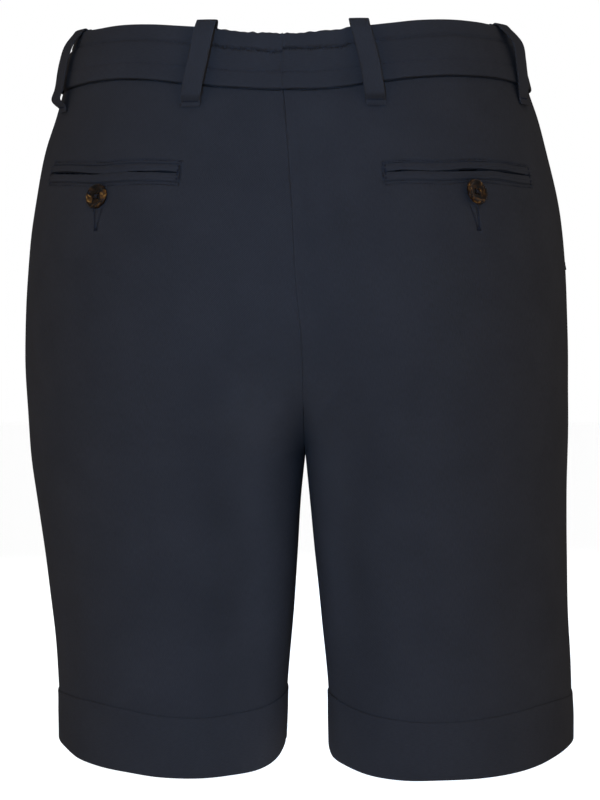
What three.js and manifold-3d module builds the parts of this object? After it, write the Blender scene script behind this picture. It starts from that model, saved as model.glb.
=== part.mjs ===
// Bermuda shorts, hollow and filled out as if worn: four leg panels, a two-piece waistband with belt
// loops, turned-up cuffs, buttoned double-welt back pockets, slant front pockets and a fly.
// Millimetres. +Z is up, -Y is the front and +X is the wearer's left.
// The origin is the centre of the waist, half way up the waistband at the sides.
import * as THREE from "three";
import { mergeVertices } from "three/addons/utils/BufferGeometryUtils.js";
import Module from "manifold-3d";

// Cloth and the play between pieces
const CLOTH = 1.6; // wall of a panel
const BAND_CLOTH = 2.2; // waistband, folded and interlined
const CUFF_CLOTH = 1.9; // turn-up, a folded layer
const TRIM_CLOTH = 1.2; // welts, fly and pocket edges
const LOOP_CLOTH = 1.7;
const PLAY = 0.15; // half the gap left at a seam
const LAID_ON = 0.35; // gap under a piece that lies on a panel

// Levels, measured at the side seam
const BAND_TOP = 21.5;
const WAIST_SEAM = -20.5;
const PANEL_TUCK = 9; // how far a panel runs up behind the waistband
const CROTCH = -276;
const PANEL_IN_CUFF = 1.6; // how far a panel stops short of the folded hem

// A half ring runs from the centre back or inseam (0), past the fullest back, the side seam (0.5)
// and the fullest front, to the centre front or inseam (1)
const FULL_BACK = 0.22;
const SIDE_SEAM = 0.5;
const FULL_FRONT = 0.78;

// Smooth curves through rows of a table whose first column falls, one curve for each other column
function table(names, ...rows) {
  const heights = rows.map((row) => row[0]);
  const curves = {};
  names.slice(1).forEach((name, i) => {
    const values = rows.map((row) => row[i + 1]);
    const rise = (k) => (values[k + 1] - values[k]) / (heights[k + 1] - heights[k]);
    const last = values.length - 1;
    const slope = values.map((_, k) => {
      if (k === 0) return rise(0);
      if (k === last) return rise(last - 1);
      const before = heights[k - 1] - heights[k];
      const after = heights[k] - heights[k + 1];
      return (rise(k - 1) * after + rise(k) * before) / (before + after);
    });
    curves[name] = (z) => {
      if (z >= heights[0]) return values[0] + slope[0] * (z - heights[0]);
      if (z <= heights[last]) return values[last] + slope[last] * (z - heights[last]);
      let k = 0;
      while (z < heights[k + 1]) k += 1;
      const span = heights[k + 1] - heights[k];
      const s = (z - heights[k]) / span;
      const turn = s * s * (3 - 2 * s);
      return (
        values[k] * (1 - turn) +
        values[k + 1] * turn +
        span * s * (1 - s) * (slope[k] * (1 - s) - slope[k + 1] * s)
      );
    };
  });
  return curves;
}

// Outline from behind and in profile: the side seams' distance out, the fullest back and front, and
// where across the half section those lie
const BODY = table(
  ["z", "left", "right", "back", "backAt", "front", "frontAt"],
  [21, 153, 152.5, 103, 0.28, -105, 0.3],
  [0, 161.8, 161.5, 106, 0.29, -107.5, 0.31],
  [-21, 167, 167.5, 109, 0.31, -110, 0.32],
  [-40, 172, 174, 115, 0.33, -113, 0.34],
  [-60, 178.3, 179.5, 120, 0.36, -114, 0.36],
  [-110, 187.3, 190.3, 134, 0.4, -116, 0.4],
  [-160, 192, 195, 141, 0.43, -115, 0.43],
  [-210, 194.2, 197, 138, 0.46, -113, 0.46],
  [-250, 192.4, 197, 130, 0.48, -111, 0.48],
  [-276, 190.2, 196.6, 123, 0.5, -109, 0.5],
  [-310, 186, 195.8, 115, 0.5, -107, 0.5],
  [-350, 180.4, 196.1, 108, 0.5, -104, 0.5],
  [-400, 174.6, 197.7, 101, 0.5, -100, 0.5],
  [-450, 171, 199.8, 96, 0.5, -96, 0.5],
  [-487, 170, 200, 94, 0.5, -94, 0.5],
);

// Centre seams, and how far each half section turns in towards them: 0 is a whole leg ring, and 1 is
// flat across. The rounding is how softly the cloth bridges the back cleft.
const SEAM = table(
  ["z", "backX", "frontX", "backFlat", "frontFlat", "round"],
  [21, 0, 0, 0.72, 0.8, 0.3],
  [-21, -0.5, 0, 0.7, 0.8, 0.3],
  [-60, -4, -1, 0.66, 0.78, 0.3],
  [-110, -8, -3, 0.57, 0.76, 0.3],
  [-160, -11, -4.5, 0.5, 0.72, 0.3],
  [-185, -13.5, -5.5, 0.46, 0.66, 0.27],
  [-205, -14.5, -6, 0.41, 0.56, 0.18],
  [-230, -13.5, -7, 0.3, 0.38, 0.06],
  [-246, -12, -7.4, 0.18, 0.22, 0],
  [-256, -10.8, -7.6, 0.1, 0.12, 0],
  [-266, -9.4, -7.8, 0.035, 0.04, 0],
  [-276, -8, -8, 0, 0, 0],
);

// Inner edge of each leg, where its inseam lies
const INSEAM = table(
  ["z", "left", "right"],
  [-276, -8, -8],
  [-310, -4.4, -11.2],
  [-350, -2, -15.2],
  [-400, 1.4, -20.2],
  [-450, 5.6, -25],
  [-487, 7.4, -26],
);
const INSEAM_Y = 4;
const SIDE_POWER = 2.15; // 2 is an ellipse from the fullest point to the side seam

// The waistband's edges behind, which sink at the centre. across is the place on the half ring.
const BAND_EDGE = table(
  ["across", "topLeft", "topRight", "seamLeft", "seamRight"],
  [0.5, BAND_TOP, BAND_TOP, WAIST_SEAM, WAIST_SEAM],
  [0.45, 20.6, 21.5, -20.6, -19.2],
  [0.405, 19.8, 21.6, -20, -17.2],
  [0.375, 19.6, 22, -19, -16.4],
  [0.345, 20.1, 22.1, -18, -16.5],
  [0.315, 19.9, 21.4, -17.7, -16.9],
  [0.29, 19.1, 20.3, -18.5, -18],
  [0.265, 17.7, 18.4, -20.1, -19.6],
  [0.24, 16.4, 16.6, -22.2, -21.8],
  [0.205, 14.3, 14.4, -24.1, -24.3],
  [0.16, 13.3, 13.4, -25.1, -25.6],
  [0.1, 12.3, 12.3, -26.1, -26.6],
  [0.05, 11.9, 11.9, -26.5, -26.6],
  [0, 11.8, 11.8, -26.5, -26.5],
);

// Upper edge of each turn-up and the hem, which hang lower behind than in front
const LEG_END = table(
  ["across", "cuffLeft", "cuffRight", "hemLeft", "hemRight"],
  [1, -450, -450, -488, -488],
  [0.95, -448.5, -448.5, -485.5, -485.5],
  [0.85, -447, -447, -483.5, -483.5],
  [0.7, -447, -447, -483, -483],
  [0.58, -448.5, -448.5, -483.6, -483.4],
  [0.5, -449, -450, -484.5, -484],
  [0.45, -448.6, -449.4, -485.1, -485],
  [0.4, -448, -448.6, -487.3, -487.8],
  [0.36, -448, -449.7, -491.4, -491.4],
  [0.31, -449.2, -452.8, -494.4, -495.1],
  [0.26, -452.4, -456, -496.7, -497.4],
  [0.21, -456.6, -458.5, -499.7, -498.9],
  [0.17, -458.2, -458.4, -501, -500.4],
  [0.13, -457.2, -456.4, -500.9, -499.9],
  [0.08, -456, -452.6, -500.2, -496.6],
  [0.04, -453.2, -449.6, -496.4, -494.2],
  [0, -450, -449, -488, -488],
);

// Height of each back pocket's mouth at a distance from the middle
const POCKET_LINE = {
  left: table(
    ["x", "z"],
    [165, -81.3],
    [154, -81.8],
    [141, -82.7],
    [128, -83.7],
    [120, -83.8],
    [113, -83.3],
    [104, -82.8],
    [93, -83],
    [82, -83.2],
    [71, -83.8],
  ),
  right: table(
    ["x", "z"],
    [168, -84.2],
    [160, -83.8],
    [152, -83],
    [145, -82.1],
    [136, -82],
    [126, -82.2],
    [115, -83],
    [100, -83.4],
    [88, -83.1],
    [78, -83.5],
    [70, -84.1],
  ),
};

// Largest soft folds. across is the place on the half ring, lean is its shift from top to bottom.
// A minus depth is a trough.
const FOLDS = [
  { side: 1, across: 0.12, lean: -0.02, top: -262, bottom: -470, width: 20, depth: -2.6 },
  { side: 1, across: 0.235, lean: 0.01, top: -215, bottom: -450, width: 24, depth: 1.6 },
  { side: 1, across: 0.37, lean: 0.015, top: -285, bottom: -455, width: 26, depth: -2.2 },
  { side: 1, across: 0.45, lean: -0.03, top: -120, bottom: -300, width: 18, depth: -1.4 },
  { side: 1, across: 0.16, lean: -0.11, top: -198, bottom: -262, width: 10, depth: -1.3 },
  { side: -1, across: 0.1, lean: 0.02, top: -268, bottom: -455, width: 18, depth: -2.4 },
  { side: -1, across: 0.2, lean: 0.02, top: -225, bottom: -460, width: 26, depth: 1.8 },
  { side: -1, across: 0.34, lean: -0.01, top: -300, bottom: -465, width: 24, depth: -2 },
  { side: -1, across: 0.46, lean: 0, top: -150, bottom: -330, width: 20, depth: -1.6 },
  { side: -1, across: 0.13, lean: -0.08, top: -205, bottom: -266, width: 9, depth: -1.2 },
  { side: 1, across: 0.62, lean: 0.27, top: -120, bottom: -252, width: 9, depth: -1.5 },
  { side: -1, across: 0.64, lean: 0.25, top: -112, bottom: -248, width: 9, depth: -1.4 },
  { side: 1, across: 0.7, lean: 0.2, top: -165, bottom: -266, width: 10, depth: -1.6 },
  { side: -1, across: 0.69, lean: 0.21, top: -172, bottom: -268, width: 10, depth: -1.5 },
  { side: 1, across: 0.88, lean: 0, top: -280, bottom: -470, width: 22, depth: -2.2 },
  { side: -1, across: 0.87, lean: 0.01, top: -275, bottom: -460, width: 20, depth: -2.4 },
  { side: 1, across: 0.65, lean: 0.02, top: -300, bottom: -470, width: 26, depth: -1.8 },
  { side: -1, across: 0.63, lean: 0.02, top: -310, bottom: -465, width: 26, depth: -1.9 },
];
const RING_LENGTH = 600; // round one leg, to turn a fold's width into a share of the ring

// Piece sizes
const LOOP_WIDTH = 13.8;
const POCKET = { welt: 5, mouth: 0.9 };
const POCKET_ENDS = { left: [68, 165], right: [70, 168] };
const BACK_BUTTONS = { left: { x: 125, z: -99.2 }, right: { x: 130, z: -97.8 } };
const BUTTON_RADIUS = 9;
const BUTTON_SEAT = -0.25; // a button's flat back sits on the panel's facets, a little inside the curve
const TAB_REACH = 22; // the waistband's right end over the left
const TAB_LIFT = 3.5;
const WAIST_BUTTON_X = 9;
const FLY = { width: 34, straight: -118, bottom: -158, point: 3 };
const SLANT = { topX: 108, bottomAcross: 0.515, bottomZ: -146, width: 5 };
// How a loop stands: gap is its distance off the band near its top and low at the waist seam, rise is
// how far it goes up over the band's top edge, shoulder is how far below that edge it first stands
// off fully, full is its stand under the waist seam as a share of that at the seam, reach is how far
// its foot is below the seam, flat is how much of the foot lies flat, and turn is its turn to the back
const LOOP_STAND = {
  back: { gap: 7.3, low: 7.3, rise: 4, shoulder: 1, full: 0.68, reach: 14.5, flat: 6, turn: 0 },
  front: { gap: 7.5, low: 7.5, rise: 3, shoulder: 1, full: 0.68, reach: 14.5, flat: 6, turn: 0 },
  sideLeft: { gap: 5, low: 3.9, rise: 1.4, shoulder: 8, full: 1.08, reach: 17, flat: 2, turn: 7 },
  sideRight: { gap: 7.6, low: 0.9, rise: 1.4, shoulder: 10, full: 0.6, reach: 14.5, flat: 5, turn: 8 },
};

const lerp = THREE.MathUtils.lerp;
const smoothstep = THREE.MathUtils.smoothstep;
const sq = (v) => v * v;

// Point of the outer cloth surface without folds, for a half (1 is the wearer's left), a share of
// the half ring and a height
function plainPoint(side, across, z) {
  const behind = across < SIDE_SEAM;
  const inTorso = z >= CROTCH;
  const seamX = behind ? SEAM.backX(z) : SEAM.frontX(z);
  const inseamX = side > 0 ? INSEAM.left(z) : INSEAM.right(z);
  const inner = inTorso ? seamX : inseamX;
  const sideX = side > 0 ? BODY.left(z) : -BODY.right(z);
  const fullY = behind ? BODY.back(z) : BODY.front(z);
  const fullX = lerp(inner, sideX, behind ? BODY.backAt(z) : BODY.frontAt(z));
  const fullAt = behind ? FULL_BACK : FULL_FRONT;
  const innerAt = behind ? 0 : 1;
  const toFull = (across - innerAt) / (fullAt - innerAt);
  if (toFull < 1) {
    const flat = inTorso ? (behind ? SEAM.backFlat(z) : SEAM.frontFlat(z)) : 0;
    const round = inTorso ? SEAM.round(z) : 0;
    const turn = 1 - flat;
    const w = flat * toFull + turn * (1 - Math.cos((toFull * Math.PI) / 2));
    const bridged = Math.sqrt(w * w + sq(round * (1 - w * w)));
    const depth = Math.sqrt(Math.max(0, 1 - sq(turn * (1 - bridged))));
    return new THREE.Vector3(lerp(inner, fullX, w), lerp(INSEAM_Y, fullY, depth), z);
  }
  const angle = (((across - fullAt) / (SIDE_SEAM - fullAt)) * Math.PI) / 2;
  const power = 2 / SIDE_POWER;
  const outward = Math.pow(Math.max(0, Math.sin(angle)), power);
  const toBack = Math.pow(Math.max(0, Math.cos(angle)), power);
  return new THREE.Vector3(lerp(fullX, sideX, outward), fullY * toBack, z);
}

// Outward normal of the plain surface
function outward(side, across, z) {
  const stepAcross = 0.004;
  const stepDown = 1.5;
  const low = Math.max(0, across - stepAcross);
  const high = Math.min(1, across + stepAcross);
  const up = z < CROTCH ? Math.min(CROTCH - 0.01, z + stepDown) : z + stepDown;
  const down = z >= CROTCH ? Math.max(CROTCH, z - stepDown) : z - stepDown;
  const along = plainPoint(side, high, z).sub(plainPoint(side, low, z));
  const fall = plainPoint(side, across, down).sub(plainPoint(side, across, up));
  return along.cross(fall).multiplyScalar(side).normalize();
}

function foldDepth(side, across, z) {
  let depth = 0;
  for (const fold of FOLDS) {
    if (fold.side !== side || z > fold.top || z < fold.bottom) continue;
    const share = (fold.top - z) / (fold.top - fold.bottom);
    const off = ((across - fold.across - fold.lean * share) * RING_LENGTH) / fold.width;
    depth += fold.depth * sq(Math.sin(Math.PI * share)) * Math.exp(-off * off);
  }
  const fromInner = Math.min(across, 1 - across);
  return depth * smoothstep(fromInner, 0.01, 0.06);
}

// Cloth surface with its folds, moved out by lift. Past the centre front it goes on over the other half.
function clothPoint(side, across, z, lift) {
  const over = across > 1;
  const half = over ? -side : side;
  const place = over ? 2 - across : across;
  const out = outward(half, place, z).multiplyScalar(foldDepth(half, place, z) + lift);
  return plainPoint(half, place, z).add(out);
}

// Share of the half ring at which the cloth lies x millimetres from the middle, behind or in front
function acrossAt(side, x, z, behind) {
  let inner = behind ? 0 : 1;
  let outer = SIDE_SEAM;
  for (let i = 0; i < 40; i += 1) {
    const middle = (inner + outer) / 2;
    if (plainPoint(side, middle, z).x * side < x) inner = middle;
    else outer = middle;
  }
  return (inner + outer) / 2;
}

// Edges of the garment at a place on the half ring
const hemAt = (side, across) => (side > 0 ? LEG_END.hemLeft : LEG_END.hemRight)(across);
const cuffTopAt = (side, across) => (side > 0 ? LEG_END.cuffLeft : LEG_END.cuffRight)(across);
function seamAt(side, across) {
  if (across >= SIDE_SEAM) return WAIST_SEAM;
  return (side > 0 ? BAND_EDGE.seamLeft : BAND_EDGE.seamRight)(across);
}
function bandTopAt(side, across) {
  if (across >= SIDE_SEAM) return BAND_TOP;
  return (side > 0 ? BAND_EDGE.topLeft : BAND_EDGE.topRight)(across);
}

// Solid between an outer and an inner grid of points, rows going down and columns going round. A
// closed grid joins its last column to its first.
function wall(outer, inner, side, closed = false) {
  const rows = outer.length;
  const columns = outer[0].length;
  const points = [...outer.flat(), ...inner.flat()];
  const o = (r, c) => r * columns + (c % columns);
  const n = (r, c) => rows * columns + o(r, c);
  const faces = [];
  const quad = (a, b, c, d) => faces.push(a, b, c, a, c, d);
  const spans = closed ? columns : columns - 1;
  for (let c = 0; c < spans; c += 1) {
    for (let r = 0; r < rows - 1; r += 1) {
      quad(o(r, c), o(r, c + 1), o(r + 1, c + 1), o(r + 1, c));
      quad(n(r, c), n(r + 1, c), n(r + 1, c + 1), n(r, c + 1));
    }
    quad(o(0, c), n(0, c), n(0, c + 1), o(0, c + 1));
    quad(o(rows - 1, c), o(rows - 1, c + 1), n(rows - 1, c + 1), n(rows - 1, c));
  }
  if (!closed) {
    const end = columns - 1;
    for (let r = 0; r < rows - 1; r += 1) {
      quad(o(r, 0), o(r + 1, 0), n(r + 1, 0), n(r, 0));
      quad(o(r, end), n(r, end), n(r + 1, end), o(r + 1, end));
    }
  }
  if (side < 0) faces.reverse();
  const geometry = new THREE.BufferGeometry();
  geometry.setAttribute(
    "position",
    new THREE.Float32BufferAttribute(points.flatMap((p) => p.toArray()), 3),
  );
  geometry.setIndex(faces);
  return geometry;
}

// Grid of cloth points, from a list of rows, a list of columns and a rule for the place of each
const grid = (rows, columns, place) => rows.map((r) => columns.map((c) => place(r, c)));
const steps = (count) => Array.from({ length: count + 1 }, (_, i) => i / count);

// Leg panels. Rows run level over the hips, then swing under the seat at the inner edge so that they
// fan out from the crotch.
const HIP_ROWS = [0, 0.05, 0.15, 0.27, 0.41, 0.56, 0.71, 0.86];
const SEAT_TURN = -185;
const SEAT_ROWS = 6;
const OUTER_AT_CROTCH = -258;
const LEG_ROWS = 9;
const INNER_COLUMNS = 6;
const OUTER_COLUMNS = 8;

function panelRows() {
  const hip = HIP_ROWS.map((share) => ({ part: "hip", share }));
  const seat = steps(SEAT_ROWS).map((share) => ({ part: "seat", share }));
  const leg = steps(LEG_ROWS)
    .slice(1)
    .map((share) => ({ part: "leg", share }));
  return [...hip, ...seat, ...leg];
}

function heightOn(side, row, across) {
  const fromInner = Math.min(across, 1 - across) / FULL_BACK;
  const out = smoothstep(fromInner, 0, 1);
  if (row.part === "hip") return lerp(seamAt(side, across) + PANEL_TUCK, SEAT_TURN, row.share);
  if (row.part === "seat") {
    const swing = Math.sin((row.share * Math.PI) / 2);
    const inside = lerp(SEAT_TURN, CROTCH, swing);
    return lerp(inside, lerp(SEAT_TURN, OUTER_AT_CROTCH, row.share), out);
  }
  const hem = hemAt(side, across) + PANEL_IN_CUFF;
  return lerp(lerp(CROTCH, OUTER_AT_CROTCH, out), hem, row.share);
}

// Places of a panel's columns on the half ring, from the inner edge to the side seam
function panelColumns(behind) {
  const inner = steps(INNER_COLUMNS).map((s) => s * FULL_BACK);
  const outer = steps(OUTER_COLUMNS)
    .slice(1)
    .map((s) => lerp(FULL_BACK, SIDE_SEAM, s));
  const places = [...inner, ...outer];
  return behind ? places : places.map((place) => 1 - place).reverse();
}

// Moves a grid's first and last columns in by the seam's play. Towards the centre seams the edge
// moves straight off the middle plane.
function seamPlay(points, side, behind) {
  const innerEnd = behind ? 0 : points[0].length - 1;
  const sideEnd = behind ? points[0].length - 1 : 0;
  const toFace = behind ? 1 : -1;
  for (const row of points) {
    row[sideEnd].y += toFace * PLAY;
    row[innerEnd].x += side * PLAY;
    if (row[innerEnd].z <= CROTCH + PLAY) row[innerEnd].y += toFace * PLAY;
  }
  return points;
}

function panel(side, behind) {
  const rows = panelRows();
  const columns = panelColumns(behind);
  const face = (lift) =>
    seamPlay(
      grid(rows, columns, (row, across) =>
        clothPoint(side, across, heightOn(side, row, across), lift),
      ),
      side,
      behind,
    );
  return wall(face(0), face(-CLOTH), side);
}

// Turn-up round the whole leg hem, folded at its lower edge
const CUFF_PROFILE = [
  { down: 0, bulge: -0.9 },
  { down: 0.05, bulge: 0 },
  { down: 0.5, bulge: 0.2 },
  { down: 0.93, bulge: 0 },
  { down: 1, bulge: -0.9 },
];
function cuff(side) {
  const back = panelColumns(true);
  const columns = [...back, ...panelColumns(false).slice(1, -1)];
  const at = (down, lift) => (_, across) => {
    const z = lerp(cuffTopAt(side, across), hemAt(side, across), down);
    return clothPoint(side, across, z, lift);
  };
  const outside = LAID_ON + CUFF_CLOTH;
  const outer = CUFF_PROFILE.map((p) => columns.map((a) => at(p.down, outside + p.bulge)(0, a)));
  const inner = CUFF_PROFILE.map((p) => columns.map((a) => at(p.down, LAID_ON)(0, a)));
  return wall(outer, inner, side, true);
}

// Waistband. Two rows of stitching part it into three channels, and elastic gathers it between the
// back loops.
const BAND_PROFILE = [
  { up: 1, bulge: -0.5 },
  { up: 0.95, bulge: 0.4 },
  { up: 0.73, bulge: 0.4 },
  { up: 0.69, bulge: -0.4 },
  { up: 0.65, bulge: 0.4 },
  { up: 0.48, bulge: 0.7 },
  { up: 0.32, bulge: 0.4 },
  { up: 0.28, bulge: -0.3 },
  { up: 0.24, bulge: 0.4 },
  { up: 0.05, bulge: 0.4 },
  { up: 0, bulge: -0.5 },
];
const GATHER = { reach: 0.2, waves: 5, depth: 0.5 };
const CENTRE_PLAY = 0.0012; // share of the half ring kept clear at the centre seams

function gathers(across) {
  if (across > GATHER.reach) return 0;
  const share = across / GATHER.reach;
  return GATHER.depth * Math.sin(Math.PI * share) * Math.cos(2 * Math.PI * GATHER.waves * share);
}

// The panels' own columns, with one more between each two where the band is gathered
function bandColumns() {
  const own = [...panelColumns(true), ...panelColumns(false).slice(1)];
  return own.flatMap((place, i) =>
    i > 0 && place <= FULL_BACK ? [(own[i - 1] + place) / 2, place] : [place],
  );
}

function waistband(side) {
  const tabEnd = 2 - acrossAt(1, TAB_REACH, 0, false);
  const columns = bandColumns();
  columns[0] = CENTRE_PLAY;
  if (side > 0) columns[columns.length - 1] = 1 - CENTRE_PLAY;
  else columns.push(lerp(1, tabEnd, 0.3), lerp(1, tabEnd, 0.7), tabEnd);
  const tabStart = 1 - (tabEnd - 1) * 1.4;
  const face = (lift, relief) =>
    BAND_PROFILE.map((p) =>
      columns.map((across) => {
        const place = Math.min(across, 2 - across);
        const z = lerp(seamAt(side, place), bandTopAt(side, place), p.up);
        const tab = side < 0 ? TAB_LIFT * smoothstep(across, tabStart, 0.995) : 0;
        const shape = relief * (p.bulge + gathers(across) * p.up);
        return clothPoint(side, across, z, lift + tab + shape);
      }),
    );
  return wall(face(LAID_ON + 0.1 + BAND_CLOTH, 1), face(LAID_ON + 0.1, 0), side);
}

// Belt loop: a flat strip sewn over the waistband's top edge, standing off it, and sewn flat to the
// panel below the waist seam. Its path is given as height and distance out from the cloth.
function beltLoop(side, topAcross, footAcross, shape) {
  const { gap, low, rise, shoulder, full, reach, flat, turn } = shape;
  const band = LAID_ON + BAND_CLOTH + 0.8;
  const half = LOOP_CLOTH / 2;
  const middle = (topAcross + footAcross) / 2;
  const top = bandTopAt(side, middle);
  const seam = seamAt(side, middle);
  const foot = seam - reach;
  const stand = (z) => band + half + lerp(low, gap, (z - seam) / (top - shoulder - seam));
  const path = new THREE.CatmullRomCurve3(
    [
      [top - 8, -half - 0.8],
      [top + 1.2, -half - 0.8],
      [top + half + rise - 0.8, 0.2],
      [top + half + rise, band * 0.6],
      [top + half + rise - 0.3, band + 0.8],
      [top + half + rise - 0.4 * shoulder, band + gap * 0.5],
      [top - shoulder, stand(top - shoulder) - 0.4],
      [top - 13 - shoulder, stand(top - 13 - shoulder)],
      [seam + 12, stand(seam + 12)],
      [seam - 1, stand(seam)],
      [lerp(seam, foot, 0.45), stand(seam) * full],
      [foot + flat, half + LAID_ON + 0.5],
      [foot, half + LAID_ON + 0.1],
    ].map(([z, out]) => new THREE.Vector3(0, out, z)),
    false,
    "centripetal",
  );
  const count = 26;
  const route = path.getSpacedPoints(count);
  const facing = outward(side, middle, 0).setZ(0).normalize();
  const upright = new THREE.Vector3(0, 0, 1);
  const rows = route.map((place, i) => {
    const down = THREE.MathUtils.clamp((top - place.z) / (top - foot), 0, 1);
    const across = lerp(topAcross, footAcross, down);
    const centre = plainPoint(side, across, place.z).addScaledVector(facing, place.y);
    const next = route[Math.min(i + 1, count)];
    const last = route[Math.max(i - 1, 0)];
    const run = new THREE.Vector2(next.y - last.y, next.z - last.z).normalize();
    const turned = side * THREE.MathUtils.degToRad(turn) * smoothstep(place.y, 1.5, band + 1.5);
    const face = facing.clone().applyAxisAngle(upright, turned);
    const ahead = new THREE.Vector3(-face.y, face.x, 0).multiplyScalar(-side);
    const out = face.multiplyScalar(-run.y);
    out.z = run.x;
    const corner = (a, f) =>
      centre
        .clone()
        .addScaledVector(ahead, (a * LOOP_WIDTH) / 2)
        .addScaledVector(out, f * half);
    return { outer: [corner(-1, 1), corner(1, 1)], inner: [corner(-1, -1), corner(1, -1)] };
  });
  return wall(rows.map((r) => r.outer), rows.map((r) => r.inner), side);
}

// Strip lying on a panel. place(along, over) gives its share of the half ring and its height.
function strip(side, along, over, thickness, place) {
  const rows = steps(over);
  const columns = steps(along);
  const at = (lift) => (v, u) => {
    const [across, z] = place(u, v);
    const crown = lift > LAID_ON && v > 0 && v < 1 ? 0.25 : 0;
    return clothPoint(side, across, z, lift + crown);
  };
  return wall(
    grid(rows, columns, at(LAID_ON + thickness)),
    grid(rows, columns, at(LAID_ON)),
    side,
  );
}

// Back pocket welts, the upper and the lower lip of the mouth
function welt(word, side, upper) {
  const [inner, outer] = POCKET_ENDS[word];
  return strip(side, 18, 2, TRIM_CLOTH, (u, v) => {
    const x = lerp(inner, outer, u);
    const z = POCKET_LINE[word].z(x);
    const edge = POCKET.mouth / 2 + POCKET.welt * (upper ? 1 - v : v);
    return [acrossAt(side, x, z, true), upper ? z + edge : z - edge];
  });
}

// Slant pocket edge, from the waist seam down to the side seam
function slantEdge(side) {
  const top = acrossAt(side, SLANT.topX, WAIST_SEAM, false);
  return strip(side, 2, 12, TRIM_CLOTH, (u, v) => {
    const z = lerp(seamAt(side, top) - 0.4, SLANT.bottomZ, v);
    const centre = lerp(top, SLANT.bottomAcross, Math.pow(v, 1.15));
    const wide = (SLANT.width / RING_LENGTH) * 1.25;
    return [centre + (u - 0.1) * wide, z];
  });
}

// Fly facing on the wearer's right front, curved in to the centre seam at its foot
function fly() {
  const side = -1;
  return strip(side, 5, 14, TRIM_CLOTH, (u, v) => {
    const z = lerp(WAIST_SEAM - 0.4, FLY.bottom, v);
    const past = Math.max(0, (FLY.straight - z) / (FLY.straight - FLY.bottom));
    const width = lerp(FLY.point, FLY.width, Math.sqrt(Math.max(0, 1 - past * past)));
    const seam = -plainPoint(side, 1, z).x;
    return [acrossAt(side, seam + 0.4 + width * (1 - u), z, false), z];
  });
}

// Four-hole button with a raised rim, turned from its profile of radius and height
const HOLE = { radius: 0.95, from: 1.9, faces: 8 };
const BUTTON_FACES = 22;
async function makeButton() {
  const wasm = await Module();
  wasm.setup();
  const solid = (geometry) => {
    geometry.deleteAttribute("normal");
    geometry.deleteAttribute("uv");
    const merged = mergeVertices(geometry, 1e-4);
    return new wasm.Manifold(
      new wasm.Mesh({
        numProp: 3,
        vertProperties: merged.attributes.position.array,
        triVerts: new Uint32Array(merged.index.array),
      }),
    );
  };
  const r = BUTTON_RADIUS;
  const profile = [
    [0, 0],
    [r - 2.6, 0],
    [r - 0.6, 0.5],
    [r, 1.5],
    [r - 0.4, 2.6],
    [r - 1.3, 3],
    [r - 2.4, 2.5],
    [r - 3.2, 1.9],
    [0, 1.8],
  ].map(([x, y]) => new THREE.Vector2(x, y));
  let body = solid(new THREE.LatheGeometry(profile, BUTTON_FACES));
  for (const [x, z] of [[1, 1], [1, -1], [-1, 1], [-1, -1]]) {
    const hole = new THREE.CylinderGeometry(HOLE.radius, HOLE.radius, 12, HOLE.faces);
    hole.translate(x * HOLE.from * Math.SQRT1_2, 0, z * HOLE.from * Math.SQRT1_2);
    body = body.subtract(solid(hole));
  }
  const mesh = body.getMesh();
  const geometry = new THREE.BufferGeometry();
  geometry.setAttribute("position", new THREE.BufferAttribute(mesh.vertProperties, 3));
  geometry.setIndex(new THREE.BufferAttribute(mesh.triVerts, 1));
  return geometry;
}

const shorts = new THREE.Group();

function add(name, geometry, material) {
  geometry.computeVertexNormals();
  const mesh = new THREE.Mesh(geometry, material.clone());
  mesh.name = name;
  shorts.add(mesh);
  return mesh;
}

const navy = new THREE.MeshStandardMaterial({ color: 0x272b35, roughness: 0.85, metalness: 0 });
const horn = new THREE.MeshStandardMaterial({ color: 0x4a2b1a, roughness: 0.3, metalness: 0 });

// Lays a button on the cloth, its back towards the wearer
function sewOn(name, geometry, side, across, z, lift) {
  const facing = outward(side, across, z);
  const button = add(name, geometry, horn);
  button.position.copy(plainPoint(side, across, z)).addScaledVector(facing, lift);
  button.quaternion.setFromUnitVectors(new THREE.Vector3(0, 1, 0), facing);
  return button;
}

// Places of the belt loops that are behind and in front: distances from the middle at top and foot
const LOOPS = {
  left: [
    { name: "back", topX: 50.5, footX: 56.2, behind: true },
    { name: "front", topX: 70, footX: 71, behind: false },
  ],
  right: [
    { name: "back", topX: 51.5, footX: 55.5, behind: true },
    { name: "front", topX: 70, footX: 71, behind: false },
  ],
};
const SIDE_LOOPS = { left: 0.41, right: 0.43 };

const buttonShape = await makeButton();
for (const [word, side] of [["left", 1], ["right", -1]]) {
  add(`back_${word}`, panel(side, true), navy);
  add(`front_${word}`, panel(side, false), navy);
  add(`cuff_${word}`, cuff(side), navy);
  add(`waistband_${word}`, waistband(side), navy);
  for (const loop of LOOPS[word]) {
    const top = acrossAt(side, loop.topX, BAND_TOP, loop.behind);
    const foot = acrossAt(side, loop.footX, WAIST_SEAM, loop.behind);
    const shape = beltLoop(side, top, foot, LOOP_STAND[loop.name]);
    add(`belt_loop_${loop.name}_${word}`, shape, navy);
  }
  const at = SIDE_LOOPS[word];
  const sideStand = side > 0 ? LOOP_STAND.sideLeft : LOOP_STAND.sideRight;
  add(`belt_loop_side_${word}`, beltLoop(side, at, at, sideStand), navy);
  add(`pocket_welt_upper_${word}`, welt(word, side, true), navy);
  add(`pocket_welt_lower_${word}`, welt(word, side, false), navy);
  add(`slant_pocket_edge_${word}`, slantEdge(side), navy);
  const { x, z } = BACK_BUTTONS[word];
  const across = acrossAt(side, x, z, true);
  sewOn(`pocket_button_${word}`, buttonShape.clone(), side, across, z, BUTTON_SEAT);
}
add("fly_facing", fly(), navy);
const tabTop = LAID_ON + 0.1 + BAND_CLOTH + TAB_LIFT + 0.8;
const buttonAcross = acrossAt(1, WAIST_BUTTON_X, 0, false);
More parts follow.
